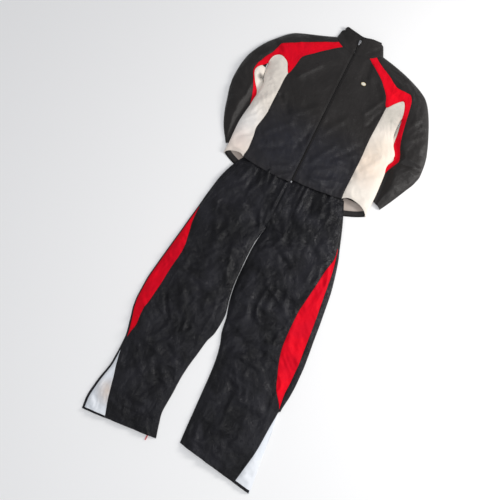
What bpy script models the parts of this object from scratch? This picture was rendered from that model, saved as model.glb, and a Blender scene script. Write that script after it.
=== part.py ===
"""A men's tracksuit laid flat: a zipped jacket over the waist of its trousers.

Plan positions are in millimetres: +X to the viewer's right, +Y up the zip towards the collar,
+Z up from the surface that the set lies on. Every cloth piece is a thin wall over a patch ruled
between two seam curves. Its height comes from the layer that it belongs to: the layer swells
from its side folds like an air-filled sleeve, and the large folds are troughs and ridges on it.
"""

from collections import namedtuple
import math

import bmesh
import bpy
from mathutils import Matrix
import numpy as np

MM = 0.001
BACK_COLUMNS = 12
HEM_DROP = 54.0
CLOTH = 1.5
BACK_CLOTH = 1.2
THIN_CLOTH = 1.0
SEAM_GAP = 0.34
BACK_INSET = 3.6
TROUSER_INSET = 4.8
WAIST_CORNER = 1.8
BENDS_PER_ROW = 2
RIM = 2.4
FOLD_EDGE = 0.0
FOLD_TOP = 9.5
SEAMED = (0.5, 0.5, 0.5, 0.5)

JACKET_HEIGHT = 25.0
JACKET_SWELL = 75.0
SLEEVE_HEIGHT = 22.0
TUCKED_HEIGHT = 6.0
TUCK_LIFT = 7.2
TROUSER_SWELL = 95.0
WAIST_LIFT = 5.3
LINING_LIFT = 2.2
ZIP_X = -20.0
ZIP_HALF = 3.0
NECK_Y = 772.0
FRONT_HEM_Y = 186.0
SIDE_ARCH = {"left": 13.0, "right": 20.0}
HEM_ENDS = (-294.4, 278.4)
HEM_END_Y = 189.0
FACING_RISE = (3.0, 22.0)
LINING_TOP_Y = 226.0

CHAIN_ENDS = (194.0, 846.0)
CHAIN_POINTS = 28
CHAIN_SUNK = 0.6
SLIDER_Y = 836.0
SLIDER_SIZE = (9.0, 13.0, 3.0)
PULL_SIZE = (6.0, 20.0, 1.6)
PULL_TOP_Y = 839.0
COLLAR_BACK_RISE = 7.2
STOP_PLACE = (-20.0, 189.7)
STOP_SIZE = (5.4, 7.0, 3.0)
BADGE_PLACE = (65.0, 672.0)
BADGE_SIZE = (20.0, 15.0, 1.2)
PULL_CORD_PLACE = (-80.0, -871.4, 1.5)
PULL_CORD_SIZE = (4.0, 18.0, 3.0)

Torso = namedtuple("Torso", "side_l seam_l seam_r side_r")
TORSO = [
    Torso((-304, 188), (-228, 201), (178, 213), (288, 190)),
    Torso((-303, 228), (-224, 240), (176, 245), (288, 232)),
    Torso((-306, 285), (-226, 285), (177, 285), (289, 285)),
    Torso((-307, 325), (-232, 325), (178, 325), (288, 325)),
    Torso((-303, 371), (-225, 371), (179, 371), (286, 371)),
    Torso((-298, 408), (-221, 408), (179, 405), (281, 402)),
    Torso((-296, 440), (-221, 440), (178, 438), (286, 432)),
    Torso((-292, 470), (-221, 475), (178, 480), (291, 458)),
    Torso((-292, 510), (-221, 515), (180, 525), (268, 502)),
    Torso((-304, 549), (-222, 550), (182, 570), (255, 545)),
    Torso((-311, 600), (-219, 586), (184, 622), (257, 605)),
]

Sleeve = namedtuple("Sleeve", "inner white_end red_end outer")
SLEEVE_L = [
    Sleeve((-73, 787), (-73, 787), (-97, 803), (-113, 827)),
    Sleeve((-112, 756), (-112, 756), (-143, 778), (-158, 810)),
    Sleeve((-158, 714), (-158, 714), (-185, 757), (-208, 793)),
    Sleeve((-202, 666), (-202, 666), (-212, 742), (-248, 779)),
    Sleeve((-208, 622), (-208, 622), (-232, 729), (-275, 767)),
    Sleeve((-219, 586), (-219, 586), (-248, 719), (-300, 747)),
    Sleeve((-246, 632), (-246, 632), (-273, 706), (-326, 719)),
    Sleeve((-278, 646), (-278, 646), (-298, 690), (-353, 688)),
    Sleeve((-304, 628), (-304, 628), (-312, 645), (-380, 645)),
    Sleeve((-311, 600), (-312, 602), (-338, 602), (-401, 594)),
    Sleeve((-305.5, 549), (-343, 548), (-349, 549), (-409, 545)),
    Sleeve((-290, 512), (-325, 507), (-333, 508), (-411, 497)),
    Sleeve((-268, 475), (-299, 471), (-316, 470), (-406, 450)),
    Sleeve((-252, 430), (-288, 425), (-302, 422), (-393, 400)),
    Sleeve((-238, 380), (-274, 370), (-288, 367), (-378, 346)),
    Sleeve((-225, 335), (-258, 323), (-272, 318), (-356, 292)),
    Sleeve((-208, 272), (-238, 259), (-250, 253), (-314, 226)),
]
SLEEVE_R = [
    Sleeve((43, 787), (43, 787), (67, 806), (89, 826)),
    Sleeve((76, 759), (76, 759), (96, 781), (130, 815)),
    Sleeve((111, 729), (111, 729), (142, 752), (180, 799)),
    Sleeve((137, 702), (137, 702), (171, 729), (232, 778)),
    Sleeve((164, 664), (164, 664), (190, 717), (275, 756)),
    Sleeve((184, 622), (184, 622), (208, 713), (305, 735)),
    Sleeve((208, 650), (208, 650), (226, 713), (322, 715)),
    Sleeve((232, 674), (232, 674), (245, 711), (336, 692)),
    Sleeve((248, 650), (248, 650), (261, 690), (350, 664)),
    Sleeve((257, 605), (258.5, 605), (272, 630), (371, 613)),
    Sleeve((258, 545), (266, 545), (284, 545), (396, 540)),
    Sleeve((245, 505), (270, 503), (296, 500), (406, 500)),
    Sleeve((240, 470), (284, 470), (309, 470), (410, 465)),
    Sleeve((240, 440), (294, 443), (314, 446), (411, 430)),
    Sleeve((238, 400), (272, 396), (290, 394), (402, 392)),
    Sleeve((233, 360), (262, 350), (277, 347), (383, 352)),
    Sleeve((227, 320), (254, 309), (268, 304), (352, 290)),
    Sleeve((224, 292), (250, 280), (262, 274), (325, 241)),
]
ARMPIT_ROW = 9
NOTCH_ROW = 5
TIP_ROW = 7

Leg = namedtuple("Leg", "y outer strip panel inner inner_y")
LEG_L = [
    Leg(205, -226, -222, -222, -26, 205),
    Leg(169, -246, -242, -242, -27, 169),
    Leg(104, -270, -265, -265, -28.8, 104),
    Leg(20, -287, -282, -282, -31.1, 20),
    Leg(-40, -295, -290, -290, -33, -20),
    Leg(-102, -304, -299, -288, -43.5, -80),
    Leg(-160, -312, -307, -277, -45.5, -140),
    Leg(-215, -320, -315, -268, -44, -203),
    Leg(-256, -326, -321, -270, -42.5, -247),
    Leg(-308, -333, -328, -278, -36, -300),
    Leg(-377, -341, -336, -283, -21, -378),
    Leg(-442, -342, -337, -290, -26, -440),
    Leg(-483, -338, -332, -297, -40, -483),
    Leg(-535, -325, -317, -294, -49, -535),
    Leg(-597, -312, -304, -304, -60, -597),
    Leg(-640, -311, -303, -303, -65, -650),
    Leg(-692, -312, -304, -292, -66, -695),
    Leg(-774, -328, -319, -271, -70, -765),
    Leg(-835, -335, -326, -255, -60, -815),
    Leg(-882, -330, -322, -240, -48, -859),
]
LEG_R = [
    Leg(212, 190, 186, 186, -26, 205),
    Leg(137, 219, 212, 212, -27.9, 137),
    Leg(39, 251, 243, 243, -30.6, 39),
    Leg(-5, 265, 254, 249, -31.5, -12),
    Leg(-66, 279, 264, 237, -39.5, -66),
    Leg(-135, 291, 270, 228, -43, -125),
    Leg(-198, 297, 276, 218, -42.5, -198),
    Leg(-254, 302, 281, 211, -40.5, -247),
    Leg(-314, 306, 285, 210, -32, -310),
    Leg(-373, 311, 289, 212, -14, -378),
    Leg(-428, 314, 292, 222, -7, -425),
    Leg(-478, 314, 292, 238, 8, -473),
    Leg(-527, 311, 290, 256, 17, -518),
    Leg(-590, 303, 296, 296, 23, -583),
    Leg(-650, 304, 304, 291, 25, -640),
    Leg(-739, 310, 310, 284, 28, -715),
    Leg(-815, 317, 317, 271, 30, -775),
    Leg(-881, 323, 323, 259, 33, -835),
]
CRESCENT_ROWS = {"left": (4, 14), "right": (2, 13)}
GUSSET_ROWS = {"left": (15, 19), "right": (13, 17)}
STRIP_ROWS = {"left": 19, "right": 13}
CROTCH_ROWS = {"left": 4, "right": 3}
WAIST_ENDS = {"left": (-200, 244), "right": (177, 246)}

Fold = namedtuple("Fold", "x0 y0 x1 y1 width height")
JACKET_FOLDS = [
    Fold(44, 768, 49, 689, 12, -3.0),
    Fold(107, 694, 173, 619, 14, -4.0),
    Fold(-172, 596, -64, 740, 26, 4.0),
    Fold(-202, 487, -160, 450, 16, -3.0),
    Fold(-150, 300, -70, 420, 30, 3.0),
    Fold(60, 260, 130, 420, 30, 3.0),
]
SLEEVE_FOLDS = [
    Fold(-341, 604, -291, 559, 12, -5.0),
    Fold(145, 703, 223, 671, 12, -4.0),
    Fold(290, 436, 400, 448, 12, -7.0),
    Fold(-400, 470, -335, 440, 14, -4.0),
    Fold(-330, 700, -290, 655, 16, -4.0),
    Fold(330, 600, 395, 570, 16, -4.0),
]
TROUSER_FOLDS = [
    Fold(10, -20, 79, -75, 15, 5.0),
    Fold(79, -75, 185, -104, 15, 5.0),
    Fold(-28, -95, 93, -124, 12, -4.0),
    Fold(25, -504, 130, -532, 15, 6.0),
    Fold(130, -532, 223, -542, 13, 5.0),
    Fold(108, -422, 232, -455, 14, -5.0),
    Fold(30, -669, 130, -650, 13, -4.0),
    Fold(116, -664, 226, -676, 14, 5.0),
    Fold(195, -481, 231, -524, 12, -4.0),
    Fold(-271, -382, -231, -452, 14, 4.0),
    Fold(-229, -471, -179, -498, 14, -4.0),
    Fold(-198, -367, -176, -409, 14, 4.0),
    Fold(-142, -396, -108, -432, 14, 4.0),
    Fold(-167, -520, -87, -525, 16, -5.0),
    Fold(-143, -91, -73, -57, 16, -4.0),
    Fold(-286, -519, -190, -630, 14, 5.0),
    Fold(-190, -630, -85, -765, 14, 5.0),
    Fold(-210, -590, -130, -690, 12, -4.0),
    Fold(-328, -369, -290, -371, 10, -3.0),
    Fold(-324, -416, -300, -445, 10, -3.0),
]
GATHER_COUNT = 13
GATHER_FROM_X = -190.0
GATHER_PITCH = 27.0
GATHER_HEIGHT = 2.2

Finish = namedtuple("Finish", "colour roughness metallic")
BLACK_NYLON = Finish((0.022, 0.020, 0.019), 0.55, 0.0)
BLACK_CRINKLE = Finish((0.020, 0.021, 0.026), 0.50, 0.0)
RED_NYLON = Finish((0.72, 0.005, 0.03), 0.55, 0.0)
IVORY_NYLON = Finish((0.80, 0.74, 0.66), 0.65, 0.0)
WHITE_NYLON = Finish((0.80, 0.82, 0.84), 0.65, 0.0)
BEIGE_LINING = Finish((0.40, 0.33, 0.28), 0.80, 0.0)
SILVER_METAL = Finish((0.72, 0.72, 0.72), 0.30, 1.0)


def clear_scene():
    for item in list(bpy.data.objects):
        bpy.data.objects.remove(item, do_unlink=True)


def material_of(name, finish):
    material = bpy.data.materials.new(name)
    material.use_nodes = True
    shader = material.node_tree.nodes["Principled BSDF"]
    shader.inputs["Base Color"].default_value = (*finish.colour, 1.0)
    shader.inputs["Roughness"].default_value = finish.roughness
    shader.inputs["Metallic"].default_value = finish.metallic
    return material


def bent(points, steps=BENDS_PER_ROW):
    """A curve through the rows' points with `steps` spans a row and no overshoot at corners."""
    points = np.asarray(points, float)
    spans = np.diff(points, axis=0)
    slopes = np.zeros_like(points)
    same_way = spans[:-1] * spans[1:] > 0
    total = np.where(same_way, spans[:-1] + spans[1:], 1.0)
    slopes[1:-1] = np.where(same_way, 2 * spans[:-1] * spans[1:] / total, 0)
    slopes[0] = spans[0]
    slopes[-1] = spans[-1]
    places = np.linspace(0, len(spans), len(spans) * steps + 1)
    row = np.minimum(places.astype(int), len(spans) - 1)
    t = (places - row)[:, None]
    start, end = points[row], points[row + 1]
    return (
        (2 * t**3 - 3 * t**2 + 1) * start
        + (t**3 - 2 * t**2 + t) * slopes[row]
        + (3 * t**2 - 2 * t**3) * end
        + (t**3 - t**2) * slopes[row + 1]
    )


def column(table, name):
    return bent([getattr(row, name) for row in table])


def leg_column(table, name):
    """A leg's seam: its rows slope from the outer edge's y to the inner edge's y."""
    points = []
    for row in table:
        x = getattr(row, name)
        across = (x - row.outer) / (row.inner - row.outer)
        points.append((x, row.y + across * (row.inner_y - row.y)))
    return bent(points)


def smooth(value, low, high):
    """0 below low, 1 above high, and an even S between."""
    t = np.clip((value - low) / (high - low), 0, 1)
    return t * t * (3 - 2 * t)


def distance(x, y, line):
    """Distance in plan from each point to the nearest place on a line of points."""
    nearest = np.full(np.shape(x), 1e9)
    for (ax, ay), (bx, by) in zip(line[:-1], line[1:]):
        dx, dy = bx - ax, by - ay
        t = np.clip(((x - ax) * dx + (y - ay) * dy) / (dx * dx + dy * dy), 0, 1)
        nearest = np.minimum(nearest, np.hypot(x - ax - t * dx, y - ay - t * dy))
    return nearest


def swell(away, reach):
    """A quarter ellipse: upright at a side fold, level at its reach."""
    return np.sqrt(1 - (1 - np.minimum(away / reach, 1)) ** 2)


def folded(x, y, folds):
    """The folds' own height: a soft trough or ridge along each, dying out at its ends."""
    height = np.zeros(np.shape(x))
    for fold in folds:
        dx, dy = fold.x1 - fold.x0, fold.y1 - fold.y0
        length = math.hypot(dx, dy)
        along = ((x - fold.x0) * dx + (y - fold.y0) * dy) / length
        past = np.maximum(np.maximum(-along, along - length), 0)
        aside = ((x - fold.x0) * dy - (y - fold.y0) * dx) / length
        height += fold.height * np.exp(-(aside**2 + past**2) / fold.width**2)
    return height


class Plan:
    """The seam and edge curves that the pieces and layers share."""

    def __init__(self):
        self.torso = {name: column(TORSO, name) for name in Torso._fields}
        self.sleeve = {
            "left": {name: column(SLEEVE_L, name) for name in Sleeve._fields},
            "right": {name: column(SLEEVE_R, name) for name in Sleeve._fields},
        }
        self.leg = {
            side: {name: leg_column(table, name) for name in ("outer", "strip", "panel", "inner")}
            for side, table in (("left", LEG_L), ("right", LEG_R))
        }
        armpit = ARMPIT_ROW * BENDS_PER_ROW
        for rows in self.sleeve.values():
            rows["white_end"][:armpit] = rows["inner"][:armpit]
        self.shoulders = [self.sleeve[side]["outer"] for side in ("left", "right")]
        self.collar_sides = [np.array([(-113, 827), (-106, 862)]), np.array([(89, 826), (72, 866)])]
        self.body_sides = [self.torso["side_l"], self.torso["side_r"]]
        self.sleeve_insides = [self.sleeve[side]["inner"][armpit:] for side in ("left", "right")]
        self.inseams = [
            self.leg[side]["inner"][row * BENDS_PER_ROW:] for side, row in CROTCH_ROWS.items()
        ]
        self.outseams = [
            np.concatenate([[waist], self.leg[side]["outer"]]) for side, waist in WAIST_ENDS.items()
        ]
        self.tucked = [
            self.torso[side][body] * share + self.sleeve[arm]["inner"][rows][::-1] * (1 - share)
            for arm, side, body, rows in (
                ("left", "side_l", slice(2, 19), slice(16, 33)),
                ("right", "side_r", slice(2, 19), slice(18, 35)),
            )
            for share in (0.0, 0.5, 1.0)
        ]
        for leg in self.leg.values():
            same = np.abs(leg["panel"] - leg["strip"]).max(axis=1)[::BENDS_PER_ROW] < 1e-6
            for row in np.flatnonzero(same[:-1] & same[1:]):
                span = slice(row * BENDS_PER_ROW, (row + 1) * BENDS_PER_ROW)
                leg["panel"][span] = leg["strip"][span]


PLAN = Plan()


def least(x, y, lines):
    return np.minimum.reduce([distance(x, y, line) for line in lines])


def jacket_base(x, y):
    """The jacket's body rises over the two forearms that are tucked under its sides."""
    over = 1 - smooth(least(x, y, PLAN.tucked), 18, 50)
    return TUCK_LIFT * over * (1 - smooth(y, 520, 575))


def jacket_top(x, y):
    base = jacket_base(x, y)
    away = least(x, y, PLAN.body_sides + PLAN.shoulders + PLAN.collar_sides)
    height = JACKET_HEIGHT - 5 * (1 - smooth(y, 190, 300)) - 6 * smooth(y, 700, 800)
    folds = folded(x, y, JACKET_FOLDS + SLEEVE_FOLDS) * swell(away, 40)
    return base + (height - base) * swell(away, JACKET_SWELL) + folds


def sleeve_top(x, y):
    """The sleeve: one with the jacket above the armpit, a flattened tube below it."""
    away = least(x, y, PLAN.sleeve_insides + PLAN.shoulders + PLAN.collar_sides)
    height = SLEEVE_HEIGHT - 8 * (1 - smooth(y, 230, 380))
    folds = folded(x, y, SLEEVE_FOLDS) * swell(away, 40)
    tube = height * swell(away, 55) + folds
    outside = np.where(x < 0, distance(x, y, PLAN.body_sides[0]), distance(x, y, PLAN.body_sides[1]))
    edge_l = np.interp(y, PLAN.torso["side_l"][:, 1], PLAN.torso["side_l"][:, 0])
    edge_r = np.interp(y, PLAN.torso["side_r"][:, 1], PLAN.torso["side_r"][:, 0])
    outside = outside * np.where(x < 0, x < edge_l, x > edge_r)
    tucked = TUCKED_HEIGHT * swell(away, 12) + 0.75 * np.maximum(outside - 14, 0)
    share = smooth(y, 520, 600)
    blend = smooth(y, 520, 545)
    below = (1 - blend) * np.minimum(tube, tucked) + blend * tube
    return (1 - share) * below + share * jacket_top(x, y)


def trouser_base(x, y):
    return WAIST_LIFT * smooth(y, 30, 95) + jacket_base(x, y)


def trouser_top(x, y):
    away = least(x, y, PLAN.outseams + PLAN.inseams)
    height = 20 - 8 * (1 - smooth(y, -880, -700)) - 10.5 * smooth(y, 60, 190)
    places = (x - GATHER_FROM_X - 0.25 * (y - 200) * (x + 20) / 200) / GATHER_PITCH
    inside = (places > -0.5) & (places < GATHER_COUNT - 0.5)
    fade = smooth(y, 95, 160) * (1 - smooth(y, 205, 225))
    gathers = np.where(inside, GATHER_HEIGHT * np.cos(2 * math.pi * places) * fade, 0)
    folds = (folded(x, y, TROUSER_FOLDS) + gathers) * swell(away, 50)
    return trouser_base(x, y) + height * swell(away, TROUSER_SWELL) + folds


def normals(layer, x, y, step=0.4):
    """Unit vectors out of a layer, from its slopes in plan."""
    slope_x = (layer(x + step, y) - layer(x - step, y)) / (2 * step)
    slope_y = (layer(x, y + step) - layer(x, y - step)) / (2 * step)
    out = np.stack([-slope_x, -slope_y, np.ones_like(slope_x)], axis=-1)
    return out / np.linalg.norm(out, axis=-1, keepdims=True)


def across_edge(line, beside):
    """Unit vectors in plan, square to an edge's line and towards the line beside it."""
    along = np.gradient(line, axis=0)
    square = np.stack([-along[:, 1], along[:, 0]], axis=-1)
    square /= np.maximum(np.linalg.norm(square, axis=-1, keepdims=True), 1e-9)
    return square * np.sign(np.sum((beside - line) * square, axis=-1, keepdims=True))


def inset(grid, edges):
    """A plan grid drawn in from its first and last columns, then its first and last rows."""
    grid = grid.copy()
    grid[:, 0] += edges[0] * across_edge(grid[:, 0], grid[:, 1])
    grid[:, -1] += edges[1] * across_edge(grid[:, -1], grid[:, -2])
    grid[0] += edges[2] * across_edge(grid[0], grid[1])
    grid[-1] += edges[3] * across_edge(grid[-1], grid[-2])
    return grid


def rimmed(grid, at_start=False):
    """The grid with one more column just inside its side fold, where the cloth turns down."""
    edge, beside = (grid[:, 0], grid[:, 1]) if at_start else (grid[:, -1], grid[:, -2])
    room = np.linalg.norm(beside - edge, axis=-1, keepdims=True)
    rim = np.where(room > 2 * RIM, edge + RIM * across_edge(edge, beside), (edge + beside) / 2)
    return np.insert(grid, 1 if at_start else grid.shape[1] - 1, rim, axis=1)


def ruled(left, right, places, bow=0.0, bow_rows=4):
    """Plan grid between two curves; bow lifts the first row's middle and fades over some rows."""
    t = np.asarray(places)[None, :, None]
    grid = left[:, None] * (1 - t) + right[:, None] * t
    fade = np.clip(1 - np.arange(len(left)) / bow_rows, 0, 1) ** 1.5
    across = 1 - np.abs(2 * np.asarray(places) - 1) ** 3
    grid[..., 1] += bow * fade[:, None] * across[None, :]
    return grid


def evenly(count):
    return np.linspace(0, 1, count + 1)


def to_edge(count, at_start=False):
    """Column places that crowd towards the side fold."""
    places = np.linspace(0, 1, count + 1)
    places = 1 - (1 - places) ** 1.35
    return 1 - places[::-1] if at_start else places


def wall(name, outer, inner, material):
    """A closed wall between two like grids of points, as one object."""
    rows, columns = outer.shape[:2]
    points = np.concatenate([outer.reshape(-1, 3), inner.reshape(-1, 3)]) * MM
    top = np.arange(rows * columns).reshape(rows, columns)
    low = top + rows * columns
    faces = []
    for skin, turn in ((top, 1), (low, -1)):
        quads = np.stack([skin[:-1, :-1], skin[:-1, 1:], skin[1:, 1:], skin[1:, :-1]], axis=-1)
        faces += quads.reshape(-1, 4)[:, ::turn].tolist()
    rim = np.concatenate([top[0], top[1:, -1], top[-1, -2::-1], top[-2:0:-1, 0]])
    under = rim + rows * columns
    for i, (a, c) in enumerate(zip(rim, under)):
        following = (i + 1) % len(rim)
        faces.append([int(a), int(c), int(under[following]), int(rim[following])])
    mesh = bpy.data.meshes.new(name)
    mesh.from_pydata(points.tolist(), [], faces)
    shape = bmesh.new()
    shape.from_mesh(mesh)
    bmesh.ops.triangulate(shape, faces=shape.faces[:])
    bmesh.ops.recalc_face_normals(shape, faces=shape.faces[:])
    if shape.calc_volume(signed=True) < 0:
        bmesh.ops.reverse_faces(shape, faces=shape.faces[:])
    shape.to_mesh(mesh)
    shape.free()
    mesh.shade_smooth()
    mesh.set_sharp_from_angle(angle=math.radians(50))
    mesh.materials.append(material)
    made = bpy.data.objects.new(name, mesh)
    bpy.context.scene.collection.objects.link(made)
    return made


def panel(name, grid, layer, base, material, thick=CLOTH, edges=SEAMED, raised=0.0):
    """A top panel: its outer points lie on the layer, or raised off it, its inner ones under them."""
    grid = inset(grid, [edge * SEAM_GAP for edge in edges])
    x, y = grid[..., 0], grid[..., 1]
    out = normals(layer, x, y)
    for at, beside, edge in ((0, 1, edges[0]), (-1, -2, edges[1])):
        if edge == FOLD_EDGE:
            sideways = across_edge(grid[:, at], grid[:, beside])
            flat_out = np.concatenate([-sideways, np.zeros((len(sideways), 1))], axis=-1)
            turned_down = layer(x[:, at], y[:, at])[:, None] < FOLD_TOP
            out[:, at] = np.where(turned_down, flat_out, out[:, at])
    skin = np.stack([x, y, layer(x, y)], axis=-1)
    outer = skin + raised * out
    inner = outer - thick * out
    if not raised:
        floor = base(x, y)
        outer[..., 2] = np.maximum(outer[..., 2], floor)
        inner[..., 2] = np.maximum(inner[..., 2], floor)
    return wall(name, outer, inner, material)


def sheet(name, grid, base, material, thick=BACK_CLOTH, edges=SEAMED):
    """A back panel: a level wall that rests on its base."""
    grid = inset(grid, [edge * SEAM_GAP for edge in edges])
    x, y = grid[..., 0], grid[..., 1]
    low = np.stack([x, y, base(x, y)], axis=-1)
    high = low + np.array([0, 0, thick])
    return wall(name, high, low, material)


def floor_level(x, y):
    return np.zeros(np.shape(x))


def jacket_fronts(black):
    torso, sleeves = PLAN.torso, PLAN.sleeve
    notch = NOTCH_ROW * BENDS_PER_ROW
    for side, seam, sign in (("left", "seam_l", -1), ("right", "seam_r", 1)):
        raglan = sleeves[side]["inner"][:notch][::-1]
        outside = np.concatenate([torso[seam], raglan])
        outside[-1, 1] = raglan[-1, 1]
        zip_edge = np.stack([np.full(len(outside), ZIP_X + sign * ZIP_HALF), outside[:, 1]], axis=-1)
        zip_edge[:, 1] = np.interp(outside[:, 1], [201, 787], [FRONT_HEM_Y, NECK_Y])
        grid = ruled(zip_edge, outside, evenly(8), bow=-6.0)
        panel(f"jacket_front_{side}", grid, jacket_top, jacket_base, black)


def side_panels(ivory):
    torso, sleeves = PLAN.torso, PLAN.sleeve
    notch, tip, armpit = (row * BENDS_PER_ROW for row in (NOTCH_ROW, TIP_ROW, ARMPIT_ROW))
    for side, seam, edge in (("left", "seam_l", "side_l"), ("right", "seam_r", "side_r")):
        sleeve = sleeves[side]["inner"]
        inner = np.concatenate([torso[seam], sleeve[notch + 1:tip]])
        outer = np.concatenate([torso[edge], sleeve[tip + 1:armpit][::-1]])
        grid = rimmed(ruled(inner, outer, to_edge(4), bow=SIDE_ARCH[side]))
        panel(f"side_panel_{side}", grid, jacket_top, jacket_base, ivory, edges=(0.5, FOLD_EDGE, 0.5, 0.5))


def sleeve_pieces(black, red, ivory):
    armpit = ARMPIT_ROW * BENDS_PER_ROW
    for side in ("left", "right"):
        rows = PLAN.sleeve[side]
        grid = rimmed(ruled(rows["red_end"], rows["outer"], to_edge(5)))
        panel(f"sleeve_{side}", grid, sleeve_top, floor_level, black, edges=(0.5, FOLD_EDGE, 0.5, 0.5))
        grid = ruled(rows["white_end"], rows["red_end"], evenly(2))
        panel(f"raglan_red_{side}", grid, sleeve_top, floor_level, red)
        grid = rimmed(ruled(rows["inner"][armpit + 1:], rows["white_end"][armpit + 1:], evenly(2)), True)
        panel(f"underarm_{side}", grid, sleeve_top, floor_level, ivory, edges=(FOLD_EDGE, 0.5, 0.5, 0.5))


def back_raglan(side):
    """The back's straighter seam from the neck to the armpit, with a point for each sleeve row."""
    rows = PLAN.sleeve[side]["inner"]
    armpit = ARMPIT_ROW * BENDS_PER_ROW
    t = np.linspace(0, 1, armpit + 1)[:, None]
    return rows[0] * (1 - t) + rows[armpit] * t


def jacket_backs(black):
    torso = PLAN.torso
    left = np.concatenate([torso["side_l"], back_raglan("left")[:-1][::-1]])
    right = np.concatenate([torso["side_r"], back_raglan("right")[:-1][::-1]])
    inset_left, inset_right = left.copy(), right.copy()
    body = len(torso["side_l"])
    inset_left[:body, 0] += BACK_INSET
    inset_right[:body, 0] -= BACK_INSET
    grid = ruled(inset_left, inset_right, evenly(BACK_COLUMNS), bow=-HEM_DROP, bow_rows=5)
    grid = np.concatenate([grid[:5], grid[6:-1:2], grid[-1:]])
    sheet("jacket_back", grid, jacket_base, black)
    armpit = ARMPIT_ROW * BENDS_PER_ROW
    for side in ("left", "right"):
        rows = PLAN.sleeve[side]
        inner = np.concatenate([back_raglan(side), rows["inner"][armpit + 1:]])
        grid = inset(ruled(inner, rows["outer"], evenly(3)), (0, BACK_INSET, 0, 0))
        hidden = inset(grid[armpit - 1:], (BACK_INSET + 1, 0, 0, 0))
        grid = np.concatenate([grid[:armpit - 1], hidden])[::2]
        sheet(f"sleeve_back_{side}", grid, floor_level, black, edges=(0.5, 0, 0.5, 0.5))


def hem_curve(lift):
    """The back hem's line of points, lifted up the jacket."""
    t = evenly(BACK_COLUMNS)
    x = HEM_ENDS[0] + t * (HEM_ENDS[1] - HEM_ENDS[0])
    y = HEM_END_Y - HEM_DROP * (1 - np.abs(2 * t - 1) ** 3)
    return np.stack([x, y + lift], axis=-1)


def hem_insides(black, beige):
    """The facing along the back hem and the lining above it, seen where the front hem stands open."""
    above = BACK_CLOTH + LINING_LIFT

    def on_back(x, y):
        return jacket_base(x, y) + above

    low, high = (hem_curve(rise) for rise in FACING_RISE)
    grid = ruled(low, high, evenly(1)).transpose(1, 0, 2)
    sheet("hem_facing", grid, on_back, black, THIN_CLOTH)
    upper = high.copy()
    upper[:, 1] = LINING_TOP_Y
    grid = np.linspace(high, upper, 6)
    sheet("hem_lining", grid, on_back, beige, THIN_CLOTH)


def collar_pieces(black):
    base_l = bent([(ZIP_X - ZIP_HALF, NECK_Y), (-48, 779.5), (-73, 787), (-97, 803), (-113, 827)], 1)
    top_l = bent([(ZIP_X - ZIP_HALF, 854), (-44, 860), (-68, 862), (-88, 864), (-106, 862)], 1)
    base_r = bent([(ZIP_X + ZIP_HALF, NECK_Y), (13, 779.5), (43, 787), (67, 806), (89, 826)], 1)
    top_r = bent([(ZIP_X + ZIP_HALF, 854), (4, 860), (28, 867), (52, 871), (72, 866)], 1)
    for side, base, top in (("left", base_l, top_l), ("right", base_r, top_r)):
        grid = rimmed(np.linspace(base, top, 5))
        panel(f"collar_{side}", grid, jacket_top, floor_level, black, edges=(0.5, FOLD_EDGE, 0.5, 0.5))
    low = np.stack([np.linspace(-88, 62, 9), np.full(9, 815.0)], axis=-1)
    high = bent([(-97, 874), (-88, 883), (-56, 876), (-16, 869), (30, 876), (60, 876)], 8)[::5]
    grid = np.linspace(low, high, 5)

    def under_collar(x, y):
        return 1.0 + COLLAR_BACK_RISE * smooth(y, 856, 872)

    sheet("collar_back", grid, under_collar, black, CLOTH)


def zip_chain(black):
    y = np.linspace(*CHAIN_ENDS, CHAIN_POINTS)
    left, right = (np.stack([np.full(CHAIN_POINTS, ZIP_X + side), y], axis=-1) for side in (-ZIP_HALF, ZIP_HALF))

    def chain_level(px, py):
        return jacket_top(np.full(np.shape(px), ZIP_X), py) - CHAIN_SUNK

    panel("zip_chain", ruled(left, right, evenly(2)), chain_level, jacket_base, black, CLOTH)


def boxed(name, centre, size, material, bevel=0.6):
    """A small block with its edges rounded."""
    shape = bmesh.new()
    bmesh.ops.create_cube(shape, size=1.0)
    bmesh.ops.scale(shape, vec=np.array(size) * MM, verts=shape.verts)
    bmesh.ops.bevel(shape, geom=shape.edges[:], offset=bevel * MM, segments=2, affect="EDGES")
    bmesh.ops.translate(shape, vec=np.array(centre) * MM, verts=shape.verts)
    mesh = bpy.data.meshes.new(name)
    shape.to_mesh(mesh)
    shape.free()
    mesh.materials.append(material)
    made = bpy.data.objects.new(name, mesh)
    bpy.context.scene.collection.objects.link(made)
    return made


def level_at(layer, x, y):
    return float(layer(np.array([x]), np.array([y]))[0])


def hinged_at(part, place):
    """Moves a piece's origin to its joint without moving the piece."""
    place = np.array(place) * MM
    part.data.transform(Matrix.Translation(-place))
    part.location = place


def zip_metal(metal):
    """Slider, pull tab hinged at its upper end, and the box at the zip's lower end."""
    level = level_at(jacket_top, ZIP_X, SLIDER_Y)
    slider_z = level + SEAM_GAP + SLIDER_SIZE[2] / 2
    boxed("zip_slider", (ZIP_X, SLIDER_Y, slider_z), SLIDER_SIZE, metal)
    half_thick = PULL_SIZE[2] / 2
    pull_z = level + 2 * SEAM_GAP + SLIDER_SIZE[2] + half_thick
    pull = boxed("zip_pull", (ZIP_X, PULL_TOP_Y - PULL_SIZE[1] / 2, pull_z), PULL_SIZE, metal, half_thick / 2)
    hinged_at(pull, (ZIP_X, PULL_TOP_Y - half_thick, pull_z))
    foot = level_at(jacket_top, *STOP_PLACE) - CHAIN_SUNK
    boxed("zip_stop", (*STOP_PLACE, foot), STOP_SIZE, metal)


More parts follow.
